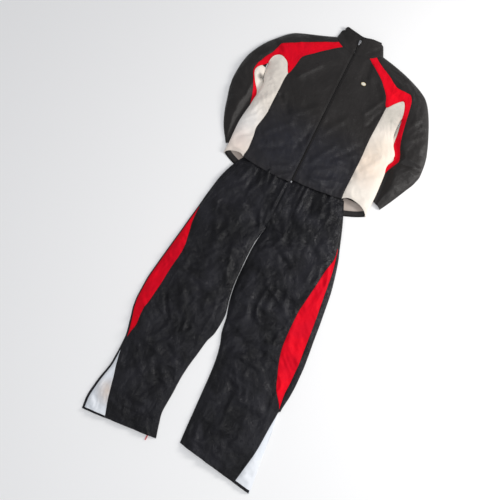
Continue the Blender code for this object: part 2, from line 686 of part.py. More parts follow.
def trousers(black, red, white):
    for side in ("left", "right"):
        rows = PLAN.leg[side]
        grid = rimmed(ruled(rows["inner"], rows["panel"], evenly(11)), True)
        panel(f"trouser_front_{side}", grid, trouser_top, trouser_base, black)
        if side == "right":
            panel("fly_flap", grid[1:7, 1:4], trouser_top, trouser_base, black, THIN_CLOTH,
                  raised=THIN_CLOTH + SEAM_GAP)
        first, last = (row * BENDS_PER_ROW for row in CRESCENT_ROWS[side])
        cut = slice(first + 1, last)
        grid = ruled(rows["panel"][cut], rows["strip"][cut], evenly(3))
        panel(f"crescent_{side}", grid, trouser_top, trouser_base, red)
        first, last = (row * BENDS_PER_ROW for row in GUSSET_ROWS[side])
        cut = slice(first + 1, last + 1)
        to_fold = side == "right"
        grid = ruled(rows["panel"][cut], rows["strip"][cut], evenly(3))
        panel(f"gusset_{side}", rimmed(grid) if to_fold else grid, trouser_top, trouser_base, white,
              edges=(0.5, FOLD_EDGE if to_fold else 0.5, 0.5, 0.5))
        band = np.stack([grid[-2] * 0.35 + grid[-1] * 0.65, grid[-1]])
        panel(f"gusset_hem_{side}", band, trouser_top, trouser_base, black, THIN_CLOTH,
              edges=(0.5, 5.0, 0, 0.5), raised=THIN_CLOTH + SEAM_GAP)
        end = STRIP_ROWS[side] * BENDS_PER_ROW + 1
        grid = rimmed(ruled(rows["strip"], rows["outer"], evenly(1)))[:end]
        panel(f"side_strip_{side}", grid, trouser_top, trouser_base, black, edges=(0.5, FOLD_EDGE, 0.5, 0.5))
        grid = inset(ruled(rows["outer"], rows["inner"], evenly(4)), (TROUSER_INSET, SEAM_GAP / 2, 0, 0))
        below = CROTCH_ROWS[side] * BENDS_PER_ROW
        lower = inset(grid[below:], (0, TROUSER_INSET, 0, 0))
        sheet(f"trouser_back_{side}", np.concatenate([grid[:below], lower])[::2], trouser_base, black,
              edges=(0, 0, 0.5, 0.5))


def waistband(black):
    """The elastic waist inside the jacket: a flat tube above the fronts and backs."""
    left, right = (np.array([PLAN.leg[side]["outer"][0], WAIST_ENDS[side]]) for side in PLAN.leg)
    seam = np.linspace(left[0] + (7, 0), right[0] - (4, 0), 15)
    seam[:, 1] = np.interp(seam[:, 0], (-226, -26, 190), (205, 205, 212)) + 2 * SEAM_GAP
    seam[[0, -1], 1] += WAIST_CORNER
    top = np.linspace(left[1], right[1], 15)
    grid = rimmed(rimmed(np.linspace(seam, top, 3)), True)
    panel("waistband_front", grid, trouser_top, trouser_base, black, edges=(FOLD_EDGE, FOLD_EDGE, 0.5, 0.5))
    grid = inset(np.linspace(seam, top, 3)[:, ::2], (TROUSER_INSET + 1, TROUSER_INSET + 1, 0, 0))
    grid[0, :, 1] = np.maximum(grid[0, :, 1], seam[1, 1] + 2 * SEAM_GAP)
    sheet("waistband_back", grid, trouser_base, black, edges=(0, 0, 0.5, 0.5))


def small_pieces(cream, red):
    """The plain oval patch on the chest and the cord pull at the left ankle."""
    x, y = BADGE_PLACE
    level = level_at(jacket_top, x, y)
    shape = bmesh.new()
    bmesh.ops.create_cone(shape, cap_ends=True, segments=20, radius1=0.5, radius2=0.46, depth=1.0)
    bmesh.ops.scale(shape, vec=np.array(BADGE_SIZE) * MM, verts=shape.verts)
    place = np.array([x, y, level + BADGE_SIZE[2] / 2 + 2 * SEAM_GAP]) * MM
    bmesh.ops.translate(shape, vec=place, verts=shape.verts)
    mesh = bpy.data.meshes.new("chest_badge")
    shape.to_mesh(mesh)
    shape.free()
    mesh.materials.append(cream)
    bpy.context.scene.collection.objects.link(bpy.data.objects.new("chest_badge", mesh))
    boxed("ankle_pull", PULL_CORD_PLACE, PULL_CORD_SIZE, red, 0.8)


def main():
    clear_scene()
    black = material_of("black_nylon", BLACK_NYLON)
    crinkle = material_of("black_crinkle_nylon", BLACK_CRINKLE)
    red = material_of("red_nylon", RED_NYLON)
    ivory = material_of("ivory_nylon", IVORY_NYLON)
    white = material_of("white_nylon", WHITE_NYLON)
    beige = material_of("beige_lining", BEIGE_LINING)
    metal = material_of("silver_metal", SILVER_METAL)
    jacket_fronts(black)
    side_panels(ivory)
    sleeve_pieces(black, red, ivory)
    jacket_backs(black)
    hem_insides(black, beige)
    collar_pieces(black)
    zip_chain(black)
    zip_metal(metal)
    trousers(crinkle, red, white)
    waistband(crinkle)
    small_pieces(ivory, red)


main()
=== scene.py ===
"""A men's tracksuit laid flat: its cloth, seams, zip and trim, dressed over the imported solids.

Plan sizes are in millimetres in the frame of the set: +X to the viewer's right, +Y up the zip
towards the collar, +Z up from the surface that the set lies on. Meshes are made in metres.
"""

from dataclasses import dataclass, field
from enum import Enum
import logging
import math
from typing import Callable, NamedTuple, Sequence

import bpy
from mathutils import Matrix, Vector
import numpy as np

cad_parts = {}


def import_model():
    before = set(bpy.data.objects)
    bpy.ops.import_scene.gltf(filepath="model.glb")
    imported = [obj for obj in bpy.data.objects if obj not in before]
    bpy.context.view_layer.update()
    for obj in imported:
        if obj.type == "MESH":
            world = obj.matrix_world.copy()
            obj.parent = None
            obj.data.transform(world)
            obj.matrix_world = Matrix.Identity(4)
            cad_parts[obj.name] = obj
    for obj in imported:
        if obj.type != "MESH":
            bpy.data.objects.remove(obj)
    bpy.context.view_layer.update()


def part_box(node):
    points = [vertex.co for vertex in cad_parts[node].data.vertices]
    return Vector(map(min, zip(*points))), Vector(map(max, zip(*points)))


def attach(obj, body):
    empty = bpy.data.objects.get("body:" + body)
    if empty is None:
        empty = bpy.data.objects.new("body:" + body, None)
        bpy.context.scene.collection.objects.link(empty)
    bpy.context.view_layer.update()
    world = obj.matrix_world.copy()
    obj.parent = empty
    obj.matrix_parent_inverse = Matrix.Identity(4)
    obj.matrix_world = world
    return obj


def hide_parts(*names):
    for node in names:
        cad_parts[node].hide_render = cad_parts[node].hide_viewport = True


LOG = logging.getLogger("tracksuit")
MM = 0.001
STEPS = 11
ROOT = "suit"

Grid = np.ndarray
Layer = Callable[[Grid, Grid], Grid]

JACKET_HEIGHT = 25.0
JACKET_SWELL = 75.0
SLEEVE_HEIGHT = 22.0
TUCKED_HEIGHT = 6.0
TUCK_LIFT = 7.2
TROUSER_SWELL = 95.0
WAIST_LIFT = 5.3
LINING_LIFT = 2.2
HEM_DROP = 54.0
BACK_CLOTH = 1.2
SEAM_GAP = 0.34
BACK_INSET = 3.6
TROUSER_INSET = 4.8
WAIST_CORNER = 1.8
ZIP_X = -20.0
ZIP_HALF = 3.0
NECK_Y = 772.0
FRONT_HEM_Y = 186.0
SIDE_ARCH = {"left": 13.0, "right": 20.0}
HEM_ENDS = (-294.4, 278.4)
HEM_END_Y = 189.0
FACING_RISE = (3.0, 22.0)
LINING_TOP_Y = 226.0
CHAIN_ENDS = (194.0, 846.0)
COLLAR_BACK_RISE = 7.2

Point = tuple[float, float]


class Torso(NamedTuple):
    """A row of the jacket's body: its side folds and the seams of its side panels."""

    side_l: Point
    seam_l: Point
    seam_r: Point
    side_r: Point


TORSO = [
    Torso((-304, 188), (-228, 201), (178, 213), (288, 190)),
    Torso((-303, 228), (-224, 240), (176, 245), (288, 232)),
    Torso((-306, 285), (-226, 285), (177, 285), (289, 285)),
    Torso((-307, 325), (-232, 325), (178, 325), (288, 325)),
    Torso((-303, 371), (-225, 371), (179, 371), (286, 371)),
    Torso((-298, 408), (-221, 408), (179, 405), (281, 402)),
    Torso((-296, 440), (-221, 440), (178, 438), (286, 432)),
    Torso((-292, 470), (-221, 475), (178, 480), (291, 458)),
    Torso((-292, 510), (-221, 515), (180, 525), (268, 502)),
    Torso((-304, 549), (-222, 550), (182, 570), (255, 545)),
    Torso((-311, 600), (-219, 586), (184, 622), (257, 605)),
]


class Sleeve(NamedTuple):
    """A row of a sleeve: inner edge, end of the white strip, end of the red, outer fold."""

    inner: Point
    white_end: Point
    red_end: Point
    outer: Point


SLEEVE_L = [
    Sleeve((-73, 787), (-73, 787), (-97, 803), (-113, 827)),
    Sleeve((-112, 756), (-112, 756), (-143, 778), (-158, 810)),
    Sleeve((-158, 714), (-158, 714), (-185, 757), (-208, 793)),
    Sleeve((-202, 666), (-202, 666), (-212, 742), (-248, 779)),
    Sleeve((-208, 622), (-208, 622), (-232, 729), (-275, 767)),
    Sleeve((-219, 586), (-219, 586), (-248, 719), (-300, 747)),
    Sleeve((-246, 632), (-246, 632), (-273, 706), (-326, 719)),
    Sleeve((-278, 646), (-278, 646), (-298, 690), (-353, 688)),
    Sleeve((-304, 628), (-304, 628), (-312, 645), (-380, 645)),
    Sleeve((-311, 600), (-312, 602), (-338, 602), (-401, 594)),
    Sleeve((-305.5, 549), (-343, 548), (-349, 549), (-409, 545)),
    Sleeve((-290, 512), (-325, 507), (-333, 508), (-411, 497)),
    Sleeve((-268, 475), (-299, 471), (-316, 470), (-406, 450)),
    Sleeve((-252, 430), (-288, 425), (-302, 422), (-393, 400)),
    Sleeve((-238, 380), (-274, 370), (-288, 367), (-378, 346)),
    Sleeve((-225, 335), (-258, 323), (-272, 318), (-356, 292)),
    Sleeve((-208, 272), (-238, 259), (-250, 253), (-314, 226)),
]
SLEEVE_R = [
    Sleeve((43, 787), (43, 787), (67, 806), (89, 826)),
    Sleeve((76, 759), (76, 759), (96, 781), (130, 815)),
    Sleeve((111, 729), (111, 729), (142, 752), (180, 799)),
    Sleeve((137, 702), (137, 702), (171, 729), (232, 778)),
    Sleeve((164, 664), (164, 664), (190, 717), (275, 756)),
    Sleeve((184, 622), (184, 622), (208, 713), (305, 735)),
    Sleeve((208, 650), (208, 650), (226, 713), (322, 715)),
    Sleeve((232, 674), (232, 674), (245, 711), (336, 692)),
    Sleeve((248, 650), (248, 650), (261, 690), (350, 664)),
    Sleeve((257, 605), (258.5, 605), (272, 630), (371, 613)),
    Sleeve((258, 545), (266, 545), (284, 545), (396, 540)),
    Sleeve((245, 505), (270, 503), (296, 500), (406, 500)),
    Sleeve((240, 470), (284, 470), (309, 470), (410, 465)),
    Sleeve((240, 440), (294, 443), (314, 446), (411, 430)),
    Sleeve((238, 400), (272, 396), (290, 394), (402, 392)),
    Sleeve((233, 360), (262, 350), (277, 347), (383, 352)),
    Sleeve((227, 320), (254, 309), (268, 304), (352, 290)),
    Sleeve((224, 292), (250, 280), (262, 274), (325, 241)),
]
ARMPIT_ROW = 9
NOTCH_ROW = 5
TIP_ROW = 7


class Leg(NamedTuple):
    """A row of a leg, from its outer edge's x and y to its inner edge's."""

    y: float
    outer: float
    strip: float
    panel: float
    inner: float
    inner_y: float


LEG_L = [
    Leg(205, -226, -222, -222, -26, 205),
    Leg(169, -246, -242, -242, -27, 169),
    Leg(104, -270, -265, -265, -28.8, 104),
    Leg(20, -287, -282, -282, -31.1, 20),
    Leg(-40, -295, -290, -290, -33, -20),
    Leg(-102, -304, -299, -288, -43.5, -80),
    Leg(-160, -312, -307, -277, -45.5, -140),
    Leg(-215, -320, -315, -268, -44, -203),
    Leg(-256, -326, -321, -270, -42.5, -247),
    Leg(-308, -333, -328, -278, -36, -300),
    Leg(-377, -341, -336, -283, -21, -378),
    Leg(-442, -342, -337, -290, -26, -440),
    Leg(-483, -338, -332, -297, -40, -483),
    Leg(-535, -325, -317, -294, -49, -535),
    Leg(-597, -312, -304, -304, -60, -597),
    Leg(-640, -311, -303, -303, -65, -650),
    Leg(-692, -312, -304, -292, -66, -695),
    Leg(-774, -328, -319, -271, -70, -765),
    Leg(-835, -335, -326, -255, -60, -815),
    Leg(-882, -330, -322, -240, -48, -859),
]
LEG_R = [
    Leg(212, 190, 186, 186, -26, 205),
    Leg(137, 219, 212, 212, -27.9, 137),
    Leg(39, 251, 243, 243, -30.6, 39),
    Leg(-5, 265, 254, 249, -31.5, -12),
    Leg(-66, 279, 264, 237, -39.5, -66),
    Leg(-135, 291, 270, 228, -43, -125),
    Leg(-198, 297, 276, 218, -42.5, -198),
    Leg(-254, 302, 281, 211, -40.5, -247),
    Leg(-314, 306, 285, 210, -32, -310),
    Leg(-373, 311, 289, 212, -14, -378),
    Leg(-428, 314, 292, 222, -7, -425),
    Leg(-478, 314, 292, 238, 8, -473),
    Leg(-527, 311, 290, 256, 17, -518),
    Leg(-590, 303, 296, 296, 23, -583),
    Leg(-650, 304, 304, 291, 25, -640),
    Leg(-739, 310, 310, 284, 28, -715),
    Leg(-815, 317, 317, 271, 30, -775),
    Leg(-881, 323, 323, 259, 33, -835),
]
CRESCENT_ROWS = {"left": (4, 14), "right": (2, 13)}
GUSSET_ROWS = {"left": (15, 19), "right": (13, 17)}
STRIP_ROWS = {"left": 19, "right": 13}
CROTCH_ROWS = {"left": 4, "right": 3}
WAIST_ENDS = {"left": (-200, 244), "right": (177, 246)}



class Fold(NamedTuple):
    """A soft trough (negative height) or ridge along a line in plan."""

    x0: float
    y0: float
    x1: float
    y1: float
    width: float
    height: float


JACKET_FOLDS = [
    Fold(44, 768, 49, 689, 12, -3.0),
    Fold(107, 694, 173, 619, 14, -4.0),
    Fold(-172, 596, -64, 740, 26, 4.0),
    Fold(-202, 487, -160, 450, 16, -3.0),
    Fold(-150, 300, -70, 420, 30, 3.0),
    Fold(60, 260, 130, 420, 30, 3.0),
    Fold(-31, 210, -31, 800, 6, 0.7),
    Fold(-9, 210, -9, 800, 6, 0.7),
]
SLEEVE_FOLDS = [
    Fold(-341, 604, -291, 559, 12, -5.0),
    Fold(145, 703, 223, 671, 12, -4.0),
    Fold(290, 436, 400, 448, 12, -7.0),
    Fold(-400, 470, -335, 440, 14, -4.0),
    Fold(-330, 700, -290, 655, 16, -4.0),
    Fold(330, 600, 395, 570, 16, -4.0),
]
TROUSER_FOLDS = [
    Fold(10, -20, 79, -75, 15, 5.0),
    Fold(79, -75, 185, -104, 15, 5.0),
    Fold(-28, -95, 93, -124, 12, -4.0),
    Fold(25, -504, 130, -532, 15, 6.0),
    Fold(130, -532, 223, -542, 13, 5.0),
    Fold(108, -422, 232, -455, 14, -5.0),
    Fold(30, -669, 130, -650, 13, -4.0),
    Fold(116, -664, 226, -676, 14, 5.0),
    Fold(195, -481, 231, -524, 12, -4.0),
    Fold(-271, -382, -231, -452, 14, 4.0),
    Fold(-229, -471, -179, -498, 14, -4.0),
    Fold(-198, -367, -176, -409, 14, 4.0),
    Fold(-142, -396, -108, -432, 14, 4.0),
    Fold(-167, -520, -87, -525, 16, -5.0),
    Fold(-143, -91, -73, -57, 16, -4.0),
    Fold(-286, -519, -190, -630, 14, 5.0),
    Fold(-190, -630, -85, -765, 14, 5.0),
    Fold(-210, -590, -130, -690, 12, -4.0),
    Fold(-328, -369, -290, -371, 10, -3.0),
    Fold(-324, -416, -300, -445, 10, -3.0),
]
GATHER_COUNT = 13
GATHER_FROM_X = -190.0
GATHER_PITCH = 27.0
GATHER_HEIGHT = 2.2
LEG_CREASE_DEPTH = 2.3
JACKET_HEM_DROP = 5
JACKET_NECK_DROP = 6
FOREARM_DROP = 8
LEG_HEIGHT = 20
LEG_HEM_DROP = 8
LEG_WAIST_DROP = 10.5
JACKET_CREASE_DEPTH = 2.2
RIDGE_SHARPNESS = 2.6
COLLAR_EDGE_X = (-106, -88, -68, -44, -20, 4, 28, 52, 72)
COLLAR_EDGE_Y = (862, 864, 862, 860, 854, 860, 867, 871, 866)


JACKET_CREASES = [
    Fold(-172, 596, -120, 668, 10, 2.2),
    Fold(-202, 487, -150, 440, 11, -2.0),
    Fold(-196, 500, -178, 470, 8, 1.6),
    Fold(58, 765, 66, 700, 10, -1.8),
    Fold(120, 560, 160, 640, 9, 1.8),
    Fold(150, 520, 172, 590, 9, -1.6),
    Fold(-140, 420, -60, 505, 13, 1.8),
    Fold(-60, 330, -34, 420, 12, -1.6),
    Fold(-190, 330, -120, 400, 13, 2.0),
    Fold(-180, 260, -110, 300, 11, -1.8),
    Fold(20, 300, 70, 390, 12, 2.0),
    Fold(80, 330, 150, 420, 12, -1.8),
    Fold(40, 230, 130, 260, 11, 1.8),
    Fold(10, 420, 60, 500, 13, 1.5),
    Fold(-110, 215, -50, 240, 9, 1.5),
    Fold(-275, 400, -240, 470, 12, 1.4),
    Fold(-290, 260, -245, 300, 11, -1.4),
    Fold(195, 330, 250, 420, 12, 1.4),
    Fold(217, 583, 282, 432, 4, -0.9),
]
SLEEVE_CREASES = [
    Fold(-330, 705, -280, 655, 9, -2.6),
    Fold(-325, 540, -296, 522, 6, -6.0),
    Fold(-318, 712, -272, 668, 8, 2.0),
    Fold(-352, 668, -318, 628, 9, 2.2),
    Fold(-392, 640, -352, 590, 9, -2.0),
    Fold(-402, 560, -362, 500, 9, 2.2),
    Fold(-396, 520, -340, 470, 9, -2.0),
    Fold(-398, 440, -350, 400, 9, 2.0),
    Fold(-380, 380, -320, 350, 9, -2.0),
    Fold(-345, 330, -290, 300, 9, 1.8),
    Fold(-240, 745, -215, 700, 9, 1.6),
    Fold(300, 640, 360, 610, 9, 2.4),
    Fold(290, 600, 350, 560, 9, -2.2),
    Fold(300, 545, 372, 520, 9, 2.2),
    Fold(330, 500, 398, 500, 9, -1.8),
    Fold(320, 466, 396, 462, 8, 2.4),
    Fold(330, 425, 396, 415, 8, 2.2),
    Fold(300, 400, 370, 380, 9, -2.0),
    Fold(300, 350, 360, 330, 9, 1.8),
    Fold(290, 310, 340, 280, 9, -1.6),
    Fold(220, 745, 262, 700, 9, 1.8),
    Fold(170, 740, 200, 720, 8, -1.4),
]
TROUSER_CREASES = [
    Fold(-180, 195, -196, 120, 8, 2.2),
    Fold(-230, 187, -259, 92, 4, -1.6),
    Fold(-222, 187, -251, 92, 5, 1.3),
    Fold(-38, 178, -38, 60, 5, 2.2),
    Fold(-28, 178, -30, 60, 5, -1.8),
    Fold(-75, 30, -40, -40, 7, 2.6),
    Fold(-20, 20, 40, -30, 7, 2.6),
    Fold(20, -60, 110, -110, 7, -3.0),
    Fold(60, -200, 150, -250, 8, 3.0),
    Fold(-230, -330, -170, -390, 7, 3.0),
    Fold(-250, -400, -200, -470, 7, -3.0),
    Fold(-150, 190, -160, 105, 8, -2.0),
    Fold(-118, 188, -140, 90, 9, 2.2),
    Fold(-85, 186, -88, 110, 8, 2.0),
    Fold(-52, 188, -60, 120, 8, -1.8),
    Fold(40, 190, 48, 100, 8, 2.2),
    Fold(72, 196, 92, 110, 8, -2.0),
    Fold(108, 200, 132, 120, 9, 2.2),
    Fold(140, 204, 168, 130, 8, 2.0),
    Fold(-205, 60, -120, 20, 12, 2.2),
    Fold(-150, 60, -70, -10, 12, -2.4),
    Fold(-240, 0, -160, -50, 12, 2.4),
    Fold(-190, -120, -90, -150, 12, 2.2),
    Fold(-260, -180, -150, -230, 13, -2.2),
    Fold(-120, -200, -60, -260, 12, 2.2),
    Fold(-240, -280, -140, -300, 12, 2.4),
    Fold(-150, -330, -60, -350, 11, -2.4),
    Fold(-280, -560, -180, -590, 11, 2.4),
    Fold(-160, -560, -80, -600, 11, -2.2),
    Fold(-250, -640, -160, -700, 12, 2.2),
    Fold(-240, -760, -150, -770, 11, 2.2),
    Fold(-180, -820, -90, -810, 11, -2.0),
    Fold(50, 60, 140, 30, 12, 2.4),
    Fold(120, 10, 210, -40, 12, -2.4),
    Fold(0, -160, 90, -180, 12, 2.2),
    Fold(100, -200, 190, -230, 12, -2.4),
    Fold(0, -260, 100, -290, 12, 2.4),
    Fold(80, -330, 180, -350, 12, 2.2),
    Fold(10, -400, 90, -430, 11, -2.4),
    Fold(60, -470, 180, -490, 10, 2.6),
    Fold(50, -570, 150, -590, 11, -2.4),
    Fold(120, -610, 240, -620, 11, 2.4),
    Fold(60, -720, 170, -730, 11, 2.4),
    Fold(150, -760, 260, -790, 12, -2.2),
    Fold(70, -800, 170, -815, 11, 2.0),
]


def bent(points: Sequence[Point], steps: int = STEPS) -> Grid:
    """A curve through the rows' points, a cubic a span, with no overshoot at corners.

    Args:
        points: the rows' points in plan.
        steps: how many short spans each row gets.

    Returns:
        The curve's points, one row each.
    """
    points = np.asarray(points, float)
    spans = np.diff(points, axis=0)
    slopes = np.zeros_like(points)
    same_way = spans[:-1] * spans[1:] > 0
    total = np.where(same_way, spans[:-1] + spans[1:], 1.0)
    slopes[1:-1] = np.where(same_way, 2 * spans[:-1] * spans[1:] / total, 0)
    slopes[0] = spans[0]
    slopes[-1] = spans[-1]
    places = np.linspace(0, len(spans), len(spans) * steps + 1)
    row = np.minimum(places.astype(int), len(spans) - 1)
    t = (places - row)[:, None]
    start, end = points[row], points[row + 1]
    return (
        (2 * t**3 - 3 * t**2 + 1) * start
        + (t**3 - 2 * t**2 + t) * slopes[row]
        + (3 * t**2 - 2 * t**3) * end
        + (t**3 - t**2) * slopes[row + 1]
    )


def column(table: Sequence[tuple], name: str) -> Grid:
    """The curve through one named column of a table of rows."""
    return bent([getattr(row, name) for row in table])


def leg_column(table: Sequence[Leg], name: str) -> Grid:
    """A leg's seam: its rows slope from the outer edge's y to the inner edge's y."""
    points = []
    for row in table:
        x = getattr(row, name)
        across = (x - row.outer) / (row.inner - row.outer)
        points.append((x, row.y + across * (row.inner_y - row.y)))
    return bent(points)


def smooth(value: Grid, low: float, high: float) -> Grid:
    """0 below low, 1 above high, and an even S between."""
    t = np.clip((np.asarray(value, float) - low) / (high - low), 0, 1)
    return t * t * (3 - 2 * t)


def distance(x: Grid, y: Grid, line: Grid) -> Grid:
    """Distance in plan from each point to the nearest place on a line of points."""
    nearest = np.full(np.shape(x), 1e18)
    for (ax, ay), (bx, by) in zip(line[:-1], line[1:]):
        dx, dy = bx - ax, by - ay
        t = np.clip(((x - ax) * dx + (y - ay) * dy) / (dx * dx + dy * dy + 1e-12), 0, 1)
        nearest = np.minimum(nearest, (x - ax - t * dx) ** 2 + (y - ay - t * dy) ** 2)
    return np.sqrt(nearest)


def swell(away: Grid, reach: float) -> Grid:
    """A quarter ellipse: upright at a side fold, level at its reach."""
    return np.sqrt(1 - (1 - np.minimum(away / reach, 1)) ** 2)


def folded(x: Grid, y: Grid, folds: Sequence[Fold]) -> Grid:
    """The folds' own height: a bell across each line that dies out past its ends."""
    height = np.zeros(np.shape(x))
    for fold in folds:
        dx, dy = fold.x1 - fold.x0, fold.y1 - fold.y0
        length = math.hypot(dx, dy)
        along = ((x - fold.x0) * dx + (y - fold.y0) * dy) / length
        past = np.maximum(np.maximum(-along, along - length), 0)
        aside = ((x - fold.x0) * dy - (y - fold.y0) * dx) / length
        height += fold.height * np.exp(-(aside**2 + past**2) / fold.width**2)
    return height


@dataclass(frozen=True)
class Ripple:
    """Smooth random relief on a square lattice, always the same for the same seed.

    Attributes:
        size: the lattice's pitch in millimetres.
        seed: the number that fixes the lattice's heights.
        lean: how far the lattice is turned, in degrees.
        stretch: how much longer the relief is along its second direction.
    """

    size: float
    seed: int
    lean: float = 0.0
    stretch: float = 1.0

    def at(self, x: Grid, y: Grid) -> Grid:
        """Height from -1 to 1: the four lattice corners' heights, eased between."""
        turn = math.radians(self.lean)
        u = (x * math.cos(turn) + y * math.sin(turn)) / self.size + 500
        v = (y * math.cos(turn) - x * math.sin(turn)) / (self.size * self.stretch) + 500
        lattice = np.random.default_rng(self.seed).uniform(-1, 1, (256, 256))
        i, j = np.floor(u).astype(int), np.floor(v).astype(int)
        s, t = u - i, v - j
        s, t = s * s * (3 - 2 * s), t * t * (3 - 2 * t)

        def corner(di: int, dj: int) -> Grid:
            """The lattice's height at one corner of each point's cell."""
            return lattice[(i + di) % 256, (j + dj) % 256]

        low = corner(0, 0) * (1 - s) + corner(1, 0) * s
        high = corner(0, 1) * (1 - s) + corner(1, 1) * s
        return low * (1 - t) + high * t


@dataclass(frozen=True)
class Crumple:
    """Sharp-backed small creases of woven nylon: ridged ripples, pushed about by a wider one.

    Attributes:
        size: the pitch of the widest creases in millimetres.
        height: the widest creases' height in millimetres.
        seed: the number that fixes them.
        lean: the way that they run, in degrees.
        stretch: how much longer than wide they are.
    """

    size: float
    height: float
    seed: int
    lean: float = 0.0
    stretch: float = 1.8

    def at(self, x: Grid, y: Grid) -> Grid:
        """Sum over three sizes of sharp ridges, each highest where its ripple is level."""
        push_x = Ripple(self.size * 2.3, self.seed + 1).at(x, y) * self.size * 0.7
        push_y = Ripple(self.size * 2.3, self.seed + 2).at(x, y) * self.size * 0.7
        total = np.zeros(np.shape(x))
        for octave, (share, turn) in enumerate(((1.0, 0.0), (0.5, 37.0), (0.25, -31.0))):
            ripple = Ripple(self.size / 1.9**octave, self.seed + 5 * octave, self.lean + turn, self.stretch)
            ridge = 1 - RIDGE_SHARPNESS * np.abs(ripple.at(x + push_x, y + push_y))
            total += share * ridge
        return self.height * total / 1.75


class Plan:
    """The seam and edge curves that the panels and layers share."""

    def __init__(self) -> None:
        """Works out each curve once from the tables of rows."""
        self.torso = {name: column(TORSO, name) for name in Torso._fields}
        self.sleeve = {
            "left": {name: column(SLEEVE_L, name) for name in Sleeve._fields},
            "right": {name: column(SLEEVE_R, name) for name in Sleeve._fields},
        }
        self.leg = {
            side: {name: leg_column(table, name) for name in ("outer", "strip", "panel", "inner")}
            for side, table in (("left", LEG_L), ("right", LEG_R))
        }
        armpit = ARMPIT_ROW * STEPS
        for rows in self.sleeve.values():
            rows["white_end"][:armpit] = rows["inner"][:armpit]
        thin = slice(None, None, 3)
        self.shoulders = [self.sleeve[side]["outer"][thin] for side in ("left", "right")]
        self.collar_sides = [np.array([(-113, 827), (-106, 862)]), np.array([(89, 826), (72, 866)])]
        self.body_sides = [self.torso["side_l"], self.torso["side_r"]]
        self.sleeve_insides = [self.sleeve[side]["inner"][armpit:] for side in ("left", "right")]
        self.inseams = [self.leg[side]["inner"][row * STEPS:] for side, row in CROTCH_ROWS.items()]
        self.outseams = [
            np.concatenate([[waist], self.leg[side]["outer"]]) for side, waist in WAIST_ENDS.items()
        ]
        self.tucked = self._tucked_lines()
        for leg in self.leg.values():
            same = np.abs(leg["panel"] - leg["strip"]).max(axis=1)[::STEPS] < 1e-6
            for row in np.flatnonzero(same[:-1] & same[1:]):
                span = slice(row * STEPS, (row + 1) * STEPS)
                leg["panel"][span] = leg["strip"][span]

    def _tucked_lines(self) -> list[Grid]:
        """Lines over the forearms that lie tucked under the jacket's sides."""
        lines = []
        for arm, side, rows in (("left", "side_l", slice(8, 17)), ("right", "side_r", slice(9, 18))):
            table = SLEEVE_L if arm == "left" else SLEEVE_R
            inner = bent([row.inner for row in table], 2)[rows.start * 2:rows.stop * 2 - 1][::-1]
            outer = bent([getattr(row, side) for row in TORSO], 2)[2:19]
            lines += [outer * share + inner * (1 - share) for share in (0.0, 0.5, 1.0)]
        return lines

    @staticmethod
    def least(x: Grid, y: Grid, lines: Sequence[Grid]) -> Grid:
        """Distance to the nearest of several lines."""
        return np.minimum.reduce([distance(x, y, line) for line in lines])


PLAN = Plan()


